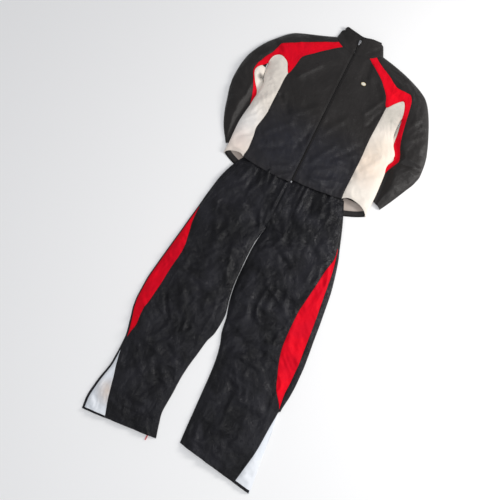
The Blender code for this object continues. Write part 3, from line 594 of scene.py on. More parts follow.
class Layers:
    """Heights of the set's layers over plan points, as the solids have them, with finer creases."""

    chest_crumple = Crumple(46.0, 4.4, 11, lean=62.0, stretch=2.2)
    chest_ripple = Ripple(70.0, 15, lean=62.0, stretch=1.8)
    sleeve_crumple = Crumple(40.0, 2.6, 23, lean=-35.0, stretch=2.4)
    leg_crumple = Crumple(42.0, 5.8, 31, lean=12.0, stretch=1.6)
    leg_ripple = Ripple(60.0, 37, lean=10.0, stretch=1.5)
    gather_ripple = Ripple(33.0, 71)

    @staticmethod
    def floor(x: Grid, y: Grid) -> Grid:
        """The surface that the set lies on."""
        return np.zeros(np.shape(x))

    @staticmethod
    def jacket_base(x: Grid, y: Grid) -> Grid:
        """The jacket's body rises over the two forearms that are tucked under its sides."""
        over = 1 - smooth(PLAN.least(x, y, PLAN.tucked), 18, 50)
        return TUCK_LIFT * over * (1 - smooth(y, 520, 575))

    @classmethod
    def jacket(cls, x: Grid, y: Grid) -> Grid:
        """The jacket's body and shoulders: a swell in from the side folds, plus folds and crumple."""
        base = cls.jacket_base(x, y)
        away = PLAN.least(x, y, PLAN.body_sides + PLAN.shoulders + PLAN.collar_sides)
        height = JACKET_HEIGHT - JACKET_HEM_DROP * (1 - smooth(y, 190, 300))
        height = height - JACKET_NECK_DROP * smooth(y, 700, 800)
        folds = folded(x, y, JACKET_FOLDS + SLEEVE_FOLDS) * swell(away, 40)
        lower = 1 - 0.65 * smooth(y, 420, 640)
        fine = JACKET_CREASE_DEPTH * folded(x, y, JACKET_CREASES)
        fine = fine + lower * (cls.chest_crumple.at(x, y) + 0.8 * cls.chest_ripple.at(x, y))
        calm = smooth(np.abs(x - ZIP_X), 6, 26) * smooth(away, 2, 30)
        return base + (height - base) * swell(away, JACKET_SWELL) + folds + fine * calm

    @classmethod
    def sleeve(cls, x: Grid, y: Grid) -> Grid:
        """The sleeve: one with the jacket above the armpit, a flattened tube below it."""
        away = PLAN.least(x, y, PLAN.sleeve_insides + PLAN.shoulders + PLAN.collar_sides)
        height = SLEEVE_HEIGHT - FOREARM_DROP * (1 - smooth(y, 230, 380))
        folds = folded(x, y, SLEEVE_FOLDS) * swell(away, 40)
        outside = np.where(x < 0, distance(x, y, PLAN.body_sides[0]), distance(x, y, PLAN.body_sides[1]))
        edges = [PLAN.torso[side] for side in ("side_l", "side_r")]
        edge_l, edge_r = (np.interp(y, edge[:, 1], edge[:, 0]) for edge in edges)
        outside = outside * np.where(x < 0, x < edge_l, x > edge_r)
        free = smooth(outside, 6, 24) * smooth(away, 2, 22)
        fine = (folded(x, y, SLEEVE_CREASES) + cls.sleeve_crumple.at(x, y)) * free
        tube = height * swell(away, 55) + folds + fine
        tucked = TUCKED_HEIGHT * swell(away, 12) + 0.75 * np.maximum(outside - 14, 0)
        blend = smooth(y, 520, 545)
        below = (1 - blend) * np.minimum(tube, tucked) + blend * tube
        share = smooth(y, 520, 600)
        fan = (folded(x, y, SLEEVE_CREASES) + 0.7 * cls.sleeve_crumple.at(x, y)) * smooth(away, 2, 30)
        seam = np.minimum(distance(x, y, PLAN.sleeve["left"]["inner"][::3]),
                          distance(x, y, PLAN.sleeve["right"]["inner"][::3]))
        shoulder = cls.jacket(x, y) + fan * smooth(seam, 4, 26)
        return (1 - share) * below + share * shoulder

    @classmethod
    def trouser_base(cls, x: Grid, y: Grid) -> Grid:
        """The trousers rise over the jacket's back hem and the forearms."""
        return WAIST_LIFT * smooth(y, 30, 95) + cls.jacket_base(x, y)

    @classmethod
    def trousers(cls, x: Grid, y: Grid) -> Grid:
        """The legs: a swell in from the side folds, gathers under the waist, folds and crumple."""
        away = PLAN.least(x, y, PLAN.outseams + PLAN.inseams)
        height = LEG_HEIGHT - LEG_HEM_DROP * (1 - smooth(y, -880, -700)) - LEG_WAIST_DROP * smooth(y, 60, 190)
        places = (x - GATHER_FROM_X - 0.25 * (y - 200) * (x + 20) / 200) / GATHER_PITCH
        inside = (places > -0.5) & (places < GATHER_COUNT - 0.5)
        fade = smooth(y, 95, 160) * (1 - smooth(y, 205, 225))
        uneven = places + 0.3 * cls.gather_ripple.at(x * 0.5, y * 0.35)
        full = GATHER_HEIGHT * (0.55 + 0.75 * cls.gather_ripple.at(x, y * 0.3))
        gathers = np.where(inside, full * np.cos(2 * math.pi * uneven) * fade, 0)
        folds = (folded(x, y, TROUSER_FOLDS) + gathers) * swell(away, 50)
        calm = smooth(away, 3, 26) * (1 - 0.55 * smooth(y, 120, 200))
        fine = LEG_CREASE_DEPTH * folded(x, y, TROUSER_CREASES) + cls.leg_crumple.at(x, y)
        fine = fine + 1.2 * cls.leg_ripple.at(x, y)
        return cls.trouser_base(x, y) + height * swell(away, TROUSER_SWELL) + folds + fine * calm


def across_edge(line: Grid, beside: Grid) -> Grid:
    """Unit vectors in plan, square to an edge's line and towards the line beside it."""
    along = np.gradient(line, axis=0)
    square = np.stack([-along[:, 1], along[:, 0]], axis=-1)
    square /= np.maximum(np.linalg.norm(square, axis=-1, keepdims=True), 1e-9)
    return square * np.sign(np.sum((beside - line) * square, axis=-1, keepdims=True))


def inset(grid: Grid, edges: Sequence[float]) -> Grid:
    """A plan grid drawn in from its first and last columns, then its first and last rows."""
    grid = grid.copy()
    grid[:, 0] += edges[0] * across_edge(grid[:, 0], grid[:, 1])
    grid[:, -1] += edges[1] * across_edge(grid[:, -1], grid[:, -2])
    grid[0] += edges[2] * across_edge(grid[0], grid[1])
    grid[-1] += edges[3] * across_edge(grid[-1], grid[-2])
    return grid


def ruled(left: Grid, right: Grid, places: Grid, bow: float = 0.0, bow_rows: int = 4) -> Grid:
    """Plan grid of straight rows between two curves.

    Args:
        left: the first column's points.
        right: the last column's points.
        places: where the columns lie, from 0 at left to 1 at right.
        bow: how far the first row's middle is moved along y.
        bow_rows: the number of table rows over which the bow fades.

    Returns:
        The points, rows by columns by two.
    """
    t = np.asarray(places)[None, :, None]
    grid = left[:, None] * (1 - t) + right[:, None] * t
    fade = np.clip(1 - np.arange(len(left)) * 2 / STEPS / bow_rows, 0, 1) ** 1.5
    across = 1 - np.abs(2 * np.asarray(places) - 1) ** 3
    grid[..., 1] += bow * fade[:, None] * across[None, :]
    return grid


def evenly(count: int) -> Grid:
    """Column places at one pitch."""
    return np.linspace(0, 1, count + 1)


def to_edge(count: int, at_start: bool = False) -> Grid:
    """Column places that crowd towards the side fold."""
    places = 1 - (1 - np.linspace(0, 1, count + 1)) ** 1.5
    return 1 - places[::-1] if at_start else places


class Value:
    """A socket of a material's nodes; arithmetic on it adds Math nodes."""

    def __init__(self, tree: bpy.types.NodeTree, socket: bpy.types.NodeSocket) -> None:
        """Keeps the node tree and the output socket that holds the value."""
        self.tree = tree
        self.socket = socket

    def _math(self, operation: str, *values: "Value | float", clamp: bool = False) -> "Value":
        """Adds one Math node.

        Args:
            operation: the node's operation.
            values: its inputs in order, sockets or numbers.
            clamp: whether the result is held from 0 to 1.

        Returns:
            The node's result.
        """
        node = self.tree.nodes.new("ShaderNodeMath")
        node.operation = operation
        node.use_clamp = clamp
        for place, value in zip(node.inputs, values):
            if isinstance(value, Value):
                self.tree.links.new(value.socket, place)
            else:
                place.default_value = value
        return Value(self.tree, node.outputs[0])

    def __add__(self, other: "Value | float") -> "Value":
        """Sum."""
        return self._math("ADD", self, other)

    def __radd__(self, other: float) -> "Value":
        """Sum with a number first."""
        return self._math("ADD", other, self)

    def __sub__(self, other: "Value | float") -> "Value":
        """Difference."""
        return self._math("SUBTRACT", self, other)

    def __rsub__(self, other: float) -> "Value":
        """Difference from a number."""
        return self._math("SUBTRACT", other, self)

    def __mul__(self, other: "Value | float") -> "Value":
        """Product."""
        return self._math("MULTIPLY", self, other)

    def __rmul__(self, other: float) -> "Value":
        """Product with a number first."""
        return self._math("MULTIPLY", other, self)

    def held(self) -> "Value":
        """The value held from 0 to 1."""
        return self._math("ADD", self, 0.0, clamp=True)

    def between(self, low: float, high: float) -> "Value":
        """0 at low, 1 at high and held outside."""
        return ((self - low) * (1 / (high - low))).held()


class Dye:
    """A material's node tree, filled one node at a time."""

    def __init__(self, name: str) -> None:
        """Starts a Principled material of that name."""
        self.material = bpy.data.materials.new(name)
        self.material.use_nodes = True
        self.tree = self.material.node_tree
        self.shader = self.tree.nodes["Principled BSDF"]

    def node(self, kind: str, settings: dict | None = None, **inputs: object) -> bpy.types.Node:
        """Adds any node.

        Args:
            kind: the node's type.
            settings: its own settings, set first.
            inputs: values or links for its sockets, spaces in their names written as _.

        Returns:
            The node.
        """
        node = self.tree.nodes.new(kind)
        for key, value in (settings or {}).items():
            setattr(node, key, value)
        for key, value in inputs.items():
            self.feed(node.inputs[key.replace("_", " ")], value)
        return node

    def feed(self, socket: bpy.types.NodeSocket, value: object) -> None:
        """Links a value to a socket, or sets the number or colour on it."""
        if isinstance(value, Value):
            self.tree.links.new(value.socket, socket)
        elif isinstance(value, tuple) and len(value) == 3 and len(socket.default_value) == 4:
            socket.default_value = (*value, 1.0)
        else:
            socket.default_value = value

    def out(self, node: bpy.types.Node, name: str) -> Value:
        """One of a node's outputs as a value."""
        return Value(self.tree, node.outputs[name])

    def place(self, size: tuple = (1.0, 1.0, 1.0), turn: float = 0.0) -> Value:
        """Object coordinates in metres, scaled and turned about Z."""
        source = self.out(self.node("ShaderNodeTexCoord"), "Object")
        mapped = self.node("ShaderNodeMapping", None, Vector=source, Rotation=(0, 0, turn), Scale=size)
        return self.out(mapped, "Vector")

    def noise(self, scale: float, detail: float = 3.0, warp: float = 0.0,
              place: Value | None = None) -> Value:
        """Soft noise from 0 to 1 at so many cells a metre."""
        node = self.node("ShaderNodeTexNoise", None, Vector=place or self.place(), Scale=scale,
                         Detail=detail, Distortion=warp)
        return self.out(node, "Fac")

    def mix(self, share: Value | float, first: object, second: object) -> Value:
        """A colour between two colours."""
        node = self.tree.nodes.new("ShaderNodeMix")
        node.data_type = "RGBA"
        for socket, value in ((node.inputs[0], share), (node.inputs[6], first), (node.inputs[7], second)):
            self.feed(socket, value)
        return Value(self.tree, node.outputs[2])

    def bump(self, height: Value, depth: float, strength: float = 1.0) -> None:
        """Relief of so many metres on the shader's normal."""
        node = self.node("ShaderNodeBump", None, Height=height, Distance=depth, Strength=strength)
        self.finish(Normal=self.out(node, "Normal"))

    def finish(self, **inputs: object) -> None:
        """Sets or links the shader's own sockets."""
        for key, value in inputs.items():
            self.feed(self.shader.inputs[key.replace("_", " ")], value)


@dataclass(frozen=True)
class StainOrSheen:
    """A soft round patch of colour on a cloth: its place in metres, reach, colour and share. The bluish ones
    on the black cloth are painted sheen.
    """

    x: float
    y: float
    reach: float
    colour: tuple[float, float, float]
    share: float


@dataclass(frozen=True)
class Nylon:
    """Woven nylon: two mottled colours, sheen, crumple and weave.

    Attributes:
        name: the material's name.
        slot: a material slot's name; not used.
        colour: its main colour.
        other: the colour of its thin or worn patches.
        rough: roughness where smooth.
        sheen: strength of its soft sheen.
        sheen_tint: the sheen's colour.
        crumple: depth of its small creases in metres.
        weave: depth of its weave in metres.
        stains: soft patches of colour on it: stains, and on the black cloth a painted bluish sheen.
        gloss: how strongly it mirrors light where smooth.
    """

    name: str
    slot: str
    colour: tuple[float, float, float]
    other: tuple[float, float, float]
    rough: float
    sheen: float
    sheen_tint: tuple[float, float, float]
    crumple: float
    weave: float = 0.00006
    stains: tuple[StainOrSheen, ...] = ()
    gloss: float = 0.26

    def dye(self) -> bpy.types.Material:
        """Builds the material: colour from mottling, painted shade along the seams, stains and painted sheen;
        relief from creases and weave.
        """
        dye = Dye(self.name)
        mottle = dye.noise(9.0, 4.0, 0.6).between(0.38, 0.66)
        colour = dye.mix(mottle, self.colour, self.other)
        for stain_or_sheen in self.stains:
            colour = self._stained(dye, colour, stain_or_sheen)
        # Painted shade along the seams: the colour darkens towards sewn edges and hems, broken up by noise.
        seam = dye.out(dye.node("ShaderNodeAttribute", {"attribute_name": "seam"}), "Fac")
        edge = (seam * (0.55 + 0.4 * dye.noise(140.0, 2.0))).held()
        seam_shade_colour = tuple(part * 0.55 for part in self.colour)
        colour = dye.mix(edge * 0.5, colour, seam_shade_colour)
        small = dye.noise(85.0, 5.0, 1.4)
        ridges = 1 - 2 * (small - 0.5) * (small - 0.5) * 8
        broad = dye.noise(34.0, 4.0, 0.9, dye.place((1.0, 0.55, 1.0), 0.3))
        warp = dye.out(dye.node("ShaderNodeTexWave", {"bands_direction": "X"}, Vector=dye.place(),
                                Scale=310.0), "Fac")
        weft = dye.out(dye.node("ShaderNodeTexWave", {"bands_direction": "Y"}, Vector=dye.place(),
                                Scale=310.0), "Fac")
        relief = (ridges * 0.35 + broad) * self.crumple + (warp + weft) * self.weave
        dye.bump(relief, 1.0)
        dye.finish(Base_Color=colour, Roughness=(self.rough + 0.14 * (broad - 0.5) + 0.05 * edge).held(),
                   Sheen_Weight=self.sheen, Sheen_Roughness=0.35, Sheen_Tint=self.sheen_tint,
                   Specular_IOR_Level=self.gloss)
        return dye.material

    @staticmethod
    def _stained(dye: Dye, colour: Value, stain_or_sheen: StainOrSheen) -> Value:
        """The colour with one soft patch, stain and painted sheen alike: its share falls with distance,
        broken up by noise.
        """
        away = dye.node("ShaderNodeVectorMath", {"operation": "DISTANCE"})
        dye.feed(away.inputs[0], dye.place((1.0, 1.0, 0.0)))
        away.inputs[1].default_value = (stain_or_sheen.x, stain_or_sheen.y, 0.0)
        near = 1 - dye.out(away, "Value").between(stain_or_sheen.reach * 0.25, stain_or_sheen.reach)
        share = (near * (0.45 + dye.noise(55.0, 4.0, 0.5)) * stain_or_sheen.share).held()
        return dye.mix(share, colour, stain_or_sheen.colour)


@dataclass(frozen=True)
class Hard:
    """A smooth hard finish: metal or moulded plastic, with faint scuffs."""

    name: str
    slot: str
    colour: tuple[float, float, float]
    rough: float
    metallic: float

    def dye(self) -> bpy.types.Material:
        """Builds the material: roughness and colour broken by fine scuffs."""
        dye = Dye(self.name)
        scuff = dye.noise(420.0, 4.0, 0.8, dye.place((1.0, 0.25, 1.0)))
        worn = tuple(part * 0.72 for part in self.colour)
        dye.finish(Base_Color=dye.mix(scuff.between(0.45, 0.7), self.colour, worn),
                   Roughness=(self.rough + 0.25 * (scuff - 0.5)).held(), Metallic=self.metallic)
        dye.bump(scuff * 0.00003, 1.0)
        return dye.material


# Painted sheen: the black cloth's two bluish patches, over the jacket's lower half, stand in for a bluish
# reflection; they are not stains.
BLACK = Nylon("black_nylon_cloth", "black_nylon", (0.0125, 0.0105, 0.0095), (0.018, 0.0155, 0.0145),
              0.46, 0.04, (0.75, 0.70, 0.68), 0.0018,
              stains=(StainOrSheen(-0.120, 0.300, 0.190, (0.012, 0.012, 0.018), 0.85),
                      StainOrSheen(0.080, 0.290, 0.190, (0.012, 0.012, 0.018), 0.85)))
BACK_BLACK = Nylon("black_nylon_back", "black_nylon", (0.0125, 0.0105, 0.0095), (0.017, 0.015, 0.014),
                   0.58, 0.03, (0.75, 0.70, 0.68), 0.0006, gloss=0.14)
CRINKLE = Nylon("black_crinkle_cloth", "black_crinkle_nylon",
                (0.0035, 0.0033, 0.0044), (0.014, 0.0135, 0.0175),
                0.36, 0.04, (0.70, 0.72, 0.85), 0.0050, gloss=0.20)
RED = Nylon("red_nylon_cloth", "red_nylon", (0.80, 0.002, 0.014), (0.66, 0.002, 0.016),
            0.60, 0.0, (1.0, 0.45, 0.45), 0.0020, gloss=0.06)
IVORY = Nylon("ivory_nylon_cloth", "ivory_nylon", (0.83, 0.76, 0.67), (0.78, 0.70, 0.62),
              0.58, 0.25, (1.0, 0.95, 0.9), 0.0010,
              stains=(StainOrSheen(0.232, 0.600, 0.085, (0.40, 0.38, 0.33), 0.75),
                      StainOrSheen(0.215, 0.380, 0.110, (0.78, 0.60, 0.45), 0.55),
                      StainOrSheen(0.250, 0.470, 0.080, (0.80, 0.66, 0.52), 0.45),
                      StainOrSheen(-0.262, 0.560, 0.110, (0.72, 0.66, 0.58), 0.30),
                      StainOrSheen(-0.285, 0.330, 0.110, (0.92, 0.88, 0.84), 0.80),
                      StainOrSheen(-0.312, 0.533, 0.016, (0.10, 0.085, 0.075), 0.95),
                      StainOrSheen(-0.272, 0.250, 0.080, (0.86, 0.66, 0.58), 0.40)))
WHITE = Nylon("white_nylon_cloth", "white_nylon", (0.80, 0.82, 0.85), (0.74, 0.77, 0.81),
              0.55, 0.25, (0.95, 0.97, 1.0), 0.0016,
              stains=(StainOrSheen(-0.268, -0.790, 0.055, (0.62, 0.47, 0.36), 0.60),))
BEIGE = Nylon("beige_lining_cloth", "beige_lining", (0.42, 0.34, 0.29), (0.50, 0.43, 0.38),
              0.75, 0.20, (1.0, 0.95, 0.9), 0.0010)
SILVER = Hard("silver_zip_metal", "silver_metal", (0.42, 0.42, 0.43), 0.42, 1.0)
COIL = Hard("black_zip_coil", "black_nylon", (0.018, 0.018, 0.020), 0.38, 0.0)
GOLD = Hard("gold_rim_metal", "silver_metal", (0.80, 0.62, 0.30), 0.30, 1.0)
CREAM = Hard("cream_patch", "ivory_nylon", (0.80, 0.76, 0.66), 0.45, 0.0)
RED_CORD = Hard("red_pull", "red_nylon", (0.70, 0.02, 0.03), 0.50, 0.0)
BLACK_THREAD = Hard("black_thread", "black_nylon", (0.045, 0.043, 0.042), 0.55, 0.0)
IVORY_THREAD = Hard("ivory_thread", "ivory_nylon", (0.66, 0.60, 0.52), 0.60, 0.0)


class Dyes:
    """Each finish's material, built once when it is first asked for."""

    made: dict[str, bpy.types.Material] = {}

    @classmethod
    def of(cls, finish: "Nylon | Hard") -> bpy.types.Material:
        """The finish's material."""
        if finish.name not in cls.made:
            cls.made[finish.name] = finish.dye()
        return cls.made[finish.name]


def mesh_piece(name: str, points: Grid, faces: list, finish: "Nylon | Hard",
               body: str = ROOT) -> bpy.types.Object:
    """Makes one piece from points in millimetres and puts it on its body.

    Args:
        name: the piece's name.
        points: its points, in any shape ending in three.
        faces: lists of point numbers.
        finish: what it is made of.
        body: the body that it rides on.

    Returns:
        The object.
    """
    mesh = bpy.data.meshes.new(name)
    points = np.reshape(points, (-1, 3)) * MM
    mesh.from_pydata(points.tolist(), [], faces)
    centres = np.empty(len(mesh.polygons) * 3)
    mesh.polygons.foreach_get("center", centres)
    normals = np.empty(len(mesh.polygons) * 3)
    mesh.polygons.foreach_get("normal", normals)
    areas = np.empty(len(mesh.polygons))
    mesh.polygons.foreach_get("area", areas)
    outward = np.sum((centres.reshape(-1, 3) - points.mean(axis=0)) * normals.reshape(-1, 3), axis=1) @ areas
    if outward < 0:
        LOG.info("%s: faces turned about", name)
        mesh.flip_normals()
    mesh.shade_smooth()
    mesh.set_sharp_from_angle(angle=math.radians(55))
    mesh.materials.append(Dyes.of(finish))
    piece = bpy.data.objects.new(name, mesh)
    bpy.context.scene.collection.objects.link(piece)
    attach(piece, body)
    return piece


def quads(rows: int, columns: int, first: int = 0, turned: bool = False, round_rows: bool = False,
          round_columns: bool = False) -> list:
    """Four-cornered faces over a grid of points numbered row by row.

    Args:
        rows: the grid's rows.
        columns: the grid's columns.
        first: the number of its first point.
        turned: whether the faces point the other way.
        round_rows: whether the last row joins the first.
        round_columns: whether the last column joins the first.

    Returns:
        The faces.
    """
    numbers = first + np.arange(rows * columns).reshape(rows, columns)
    if round_rows:
        numbers = np.concatenate([numbers, numbers[:1]])
    if round_columns:
        numbers = np.concatenate([numbers, numbers[:, :1]], axis=1)
    corners = [numbers[:-1, :-1], numbers[:-1, 1:], numbers[1:, 1:], numbers[1:, :-1]]
    faces = np.stack(corners, axis=-1).reshape(-1, 4)
    return (faces[:, ::-1] if turned else faces).tolist()


class Edge(Enum):
    """What a panel's edge is: sewn to the next panel, folded under, or a free hem."""

    SEAM = "seam"
    FOLD = "fold"
    HEM = "hem"


SEWN = (Edge.SEAM, Edge.SEAM, Edge.SEAM, Edge.SEAM)
FOLD_TOP = 9.5


@dataclass
class Panel:
    """One cut piece of cloth, made as a thin closed shell over its plan grid.

    Attributes:
        node: the solid that it stands for.
        grid: its plan points, rows by columns by two.
        layer: the height that its outside follows.
        base: what it lies on.
        finish: its cloth.
        edges: its first and last columns, then its first and last rows.
        thick: its thickness in millimetres.
        raised: how far it lies off the layer.
        under: how far a side fold turns under.
        rests_on: what it lies on, by name; not used.
    """

    node: str
    grid: Grid
    layer: Layer
    base: Layer
    finish: Nylon
    edges: tuple[Edge, Edge, Edge, Edge] = SEWN
    thick: float = 0.8
    raised: float = 0.0
    under: float = 3.4
    rests_on: tuple[str, ...] = ()
    skin: Grid = field(init=False, repr=False)

    def __post_init__(self) -> None:
        """Draws the seams in a little, so that two panels meet with a fine line between."""
        gaps = [0.0 if edge is Edge.FOLD else 0.12 for edge in self.edges]
        self.grid = inset(self.grid, gaps)

    def _dips(self) -> Grid:
        """How far the cloth sinks towards its sewn edges: 0.9 mm at the edge, 0.3 mm one point in."""
        rows, columns = self.grid.shape[:2]
        dips = np.zeros((rows, columns))
        for edge, first, second in ((self.edges[0], np.s_[:, 0], np.s_[:, 1]),
                                    (self.edges[1], np.s_[:, -1], np.s_[:, -2]),
                                    (self.edges[2], np.s_[0], np.s_[1]),
                                    (self.edges[3], np.s_[-1], np.s_[-2])):
            if edge is Edge.SEAM:
                dips[first] = 0.9
                dips[second] = np.maximum(dips[second], 0.3)
        return dips

    @staticmethod
    def normals(skin: Grid) -> Grid:
        """Unit vectors out of the skin: the product of its two directions, turned upwards."""
        out = np.cross(np.gradient(skin, axis=1), np.gradient(skin, axis=0))
        out /= np.maximum(np.linalg.norm(out, axis=-1, keepdims=True), 1e-9)
        return np.where(out[..., 2:] < 0, -out, out)

    def _turned_under(self, outer: Grid, inner: Grid, at: int) -> tuple[Grid, Grid]:
        """Three more columns past a side fold, which carry the cloth round and under.

        Args:
            outer: the outside's points.
            inner: the inside's points.
            at: 0 for the first column, -1 for the last.

        Returns:
            The outside and inside with the columns added.
        """
        beside = 1 if at == 0 else -2
        line = outer[:, at, :2].copy()
        inward = across_edge(line, outer[:, beside, :2])
        floor = self.base(line[:, 0], line[:, 1])
        low = (outer[:, at, 2] < FOLD_TOP)[:, None]
        flat_out = np.concatenate([-inward, np.zeros((len(inward), 1))], axis=-1)
        outer[:, at, 2] = np.where(low[:, 0], np.maximum(outer[:, at, 2], floor + 1.5), outer[:, at, 2])
        inner[:, at] = np.where(low, outer[:, at] - self.thick * flat_out, inner[:, at])
        added = []
        turns = ((0.35, 0.55, 0.6), (1.2, 0.06, 0.3), (self.under, 0.06, 0.0))
        for step, (reach, rise, back) in enumerate(turns):
            place = line + reach * inward
            skin = np.concatenate([place, (floor + rise)[:, None]], axis=-1)
            level = (floor + max(rise, 0.06 + self.thick))[:, None]
            lining = np.concatenate([place + back * inward, level], axis=-1)
            tucked = outer[:, at] - np.array([0, 0, 0.25 * (step + 1)])
            tucked_in = inner[:, at] - np.array([0, 0, 0.25 * (step + 1)])
            added.append((np.where(low, skin, tucked), np.where(low, lining, tucked_in)))
        outs = [pair[0][:, None] for pair in added]
        ins = [pair[1][:, None] for pair in added]
        if at == 0:
            return np.concatenate([*outs[::-1], outer], axis=1), np.concatenate([*ins[::-1], inner], axis=1)
        return np.concatenate([outer, *outs], axis=1), np.concatenate([inner, *ins], axis=1)

    def _seam_share(self, columns: int) -> Grid:
        """Closeness to a sewn edge for each plan point, 1 at the edge and fading over 5 mm; the material
        paints shade along the seams from it.
        """
        plan = np.concatenate([self.grid, np.zeros((*self.grid.shape[:2], 1))], axis=-1)
        near = np.full(self.grid.shape[:2], 1e6)
        lines = (plan[:, 0], plan[:, -1], plan[0], plan[-1])
        for edge, line in zip(self.edges, lines):
            if edge is not Edge.FOLD:
                near = np.minimum(near, distance(plan[..., 0], plan[..., 1], line[::3, :2]))
        share = np.exp(-near / 4.0)
        before = 3 if self.edges[0] is Edge.FOLD else 0
        after = columns - before - share.shape[1]
        return np.pad(share, ((0, 0), (before, after)), mode="edge")

    def build(self) -> bpy.types.Object:
        x, y = self.grid[..., 0], self.grid[..., 1]
        floor = self.base(x, y)
        height = np.maximum(self.layer(x, y) - self._dips(), floor + self.thick + 0.1)
        skin = np.stack([x, y, height], axis=-1)
        out = self.normals(skin)
        outer = skin + self.raised * out
        inner = outer - self.thick * out
        inner[..., 2] = np.maximum(inner[..., 2], floor + 0.06)
        self.skin = outer.copy()
        for at, edge in ((0, self.edges[0]), (-1, self.edges[1])):
            if edge is Edge.FOLD:
                outer, inner = self._turned_under(outer, inner, at)
        return self._shell(outer, inner)

    def _shell(self, outer: Grid, inner: Grid) -> bpy.types.Object:
        """One closed mesh from the outside's and the inside's points."""
        rows, columns = outer.shape[:2]
        count = rows * columns
        faces = quads(rows, columns) + quads(rows, columns, count, turned=True)
        top = np.arange(count).reshape(rows, columns)
        rim = np.concatenate([top[0], top[1:, -1], top[-1, -2::-1], top[-2:0:-1, 0]])
        following = np.roll(rim, -1)
        faces += np.stack([rim, rim + count, following + count, following], axis=-1).tolist()
        grid = self.grid
        spread = np.cross(grid[0, -1] - grid[0, 0], grid[-1, 0] - grid[0, 0])
        if spread < 0:
            faces = [face[::-1] for face in faces]
        points = np.concatenate([outer.reshape(-1, 3), inner.reshape(-1, 3)])
        piece = mesh_piece(f"{self.node}_cloth", points, faces, self.finish)
        # The seam closeness, which the material uses to paint shade along the seams and to roughen them.
        share = np.tile(self._seam_share(columns).ravel(), 2)
        attribute = piece.data.attributes.new("seam", "FLOAT", "POINT")
        attribute.data.foreach_set("value", share.astype(np.float32))
        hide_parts(self.node)
        return piece

    @staticmethod
    def cut(outer: Grid) -> tuple[float, float, float]:
        """The flat cut's width, length and area in metres, from lengths along the cloth.

        Args:
            outer: the outside's points, with what turns under.

        Returns:
            Mean row, mean column, and the skin's area.
        """
        across = np.linalg.norm(np.diff(outer, axis=1), axis=-1).sum(axis=1)
        along = np.linalg.norm(np.diff(outer, axis=0), axis=-1).sum(axis=0)
        side = outer[:-1, 1:] - outer[:-1, :-1]
        down = outer[1:, :-1] - outer[:-1, :-1]
        area = float(np.linalg.norm(np.cross(side, down), axis=-1).sum()) * MM * MM
        width, length = float(across.mean()) * MM, float(along.mean()) * MM
        return width, length, min(max(area, 0.3 * width * length), width * length)


@dataclass
class Stitches:
    """A row of short raised threads along a line on a layer.

    Attributes:
        name: the piece's name.
        line: the line's plan points.
        layer: the height that it lies on.
        finish: the thread.
        pitch: from one stitch to the next in millimetres.
        long: a stitch's length.
        wide: a stitch's width.
        lift: how far its middle lies off the layer.
    """

    name: str
    line: Grid
    layer: Layer
    finish: Hard
    pitch: float = 3.4
    long: float = 2.5
    wide: float = 0.55
    lift: float = 0.12

    def build(self) -> bpy.types.Object:
        """Six-pointed beads at one pitch: ends along the line, then sides, top and bottom."""
        step = np.linalg.norm(np.diff(self.line, axis=0), axis=-1)
        far = np.concatenate([[0], np.cumsum(step)])
        places = np.arange(self.pitch, far[-1] - self.pitch / 2, self.pitch)
        x, y = (np.interp(places, far, self.line[:, k]) for k in (0, 1))
        centre = np.stack([x, y, self.layer(x, y) + self.lift], axis=-1)
        along = np.gradient(centre, axis=0)
        along /= np.linalg.norm(along, axis=-1, keepdims=True)
        side = np.cross(along, (0.0, 0.0, 1.0))
        side /= np.linalg.norm(side, axis=-1, keepdims=True)
        up = np.cross(side, along)
        half = self.wide / 2
        corners = [centre + along * self.long / 2, centre + side * half, centre + up * half,
                   centre - side * half, centre - up * half, centre - along * self.long / 2]
        points = np.stack(corners, axis=1)
        bead = np.array([[0, 1, 2], [0, 2, 3], [0, 3, 4], [0, 4, 1],
                         [5, 2, 1], [5, 3, 2], [5, 4, 3], [5, 1, 4]])
        faces = (bead[None] + 6 * np.arange(len(centre))[:, None, None]).reshape(-1, 3)
        return mesh_piece(self.name, points, faces.tolist(), self.finish)


@dataclass
class Pebble:
    """A rounded block, oval or bead: a superellipse turned through a superellipse.

    Attributes:
        name: the piece's name.
        centre: its middle in millimetres.
        size: its three sizes in millimetres.
        finish: what it is made of.
        square: how boxed its outline is in plan, 1 round and near 0 square.
        flat: how boxed it is in height.
        body: the body that it rides on.
    """

    name: str
    centre: tuple[float, float, float]
    size: tuple[float, float, float]
    finish: Hard
    square: float = 0.35
    flat: float = 0.35
    body: str = ROOT

    def build(self) -> bpy.types.Object:
        """Radius cos^flat in height times a plan outline of cos and sin to the power square."""
        rise = np.linspace(-math.pi / 2, math.pi / 2, 15)[1:-1, None]
        turn = np.linspace(0, 2 * math.pi, 33)[None, :-1]

        def power(value: Grid, exponent: float) -> Grid:
            """A signed power."""
            return np.sign(value) * np.abs(value) ** exponent

        around = power(np.cos(rise), self.flat)
        x = around * power(np.cos(turn), self.square)
        y = around * power(np.sin(turn), self.square)
        z = power(np.sin(rise), self.flat) + 0 * turn
        rings = np.stack([x, y, z], axis=-1).reshape(-1, 3) * np.array(self.size) / 2
        points = np.concatenate([rings, [[0, 0, -self.size[2] / 2], [0, 0, self.size[2] / 2]]]) + self.centre
        rows, columns = 13, 32
        faces = quads(rows, columns, round_columns=True)
        low, high = rows * columns, rows * columns + 1
        for i in range(columns):
            j = (i + 1) % columns
            faces.append([low, j, i])
            faces.append([high, (rows - 1) * columns + i, (rows - 1) * columns + j])
        return mesh_piece(self.name, points, faces, self.finish, self.body)


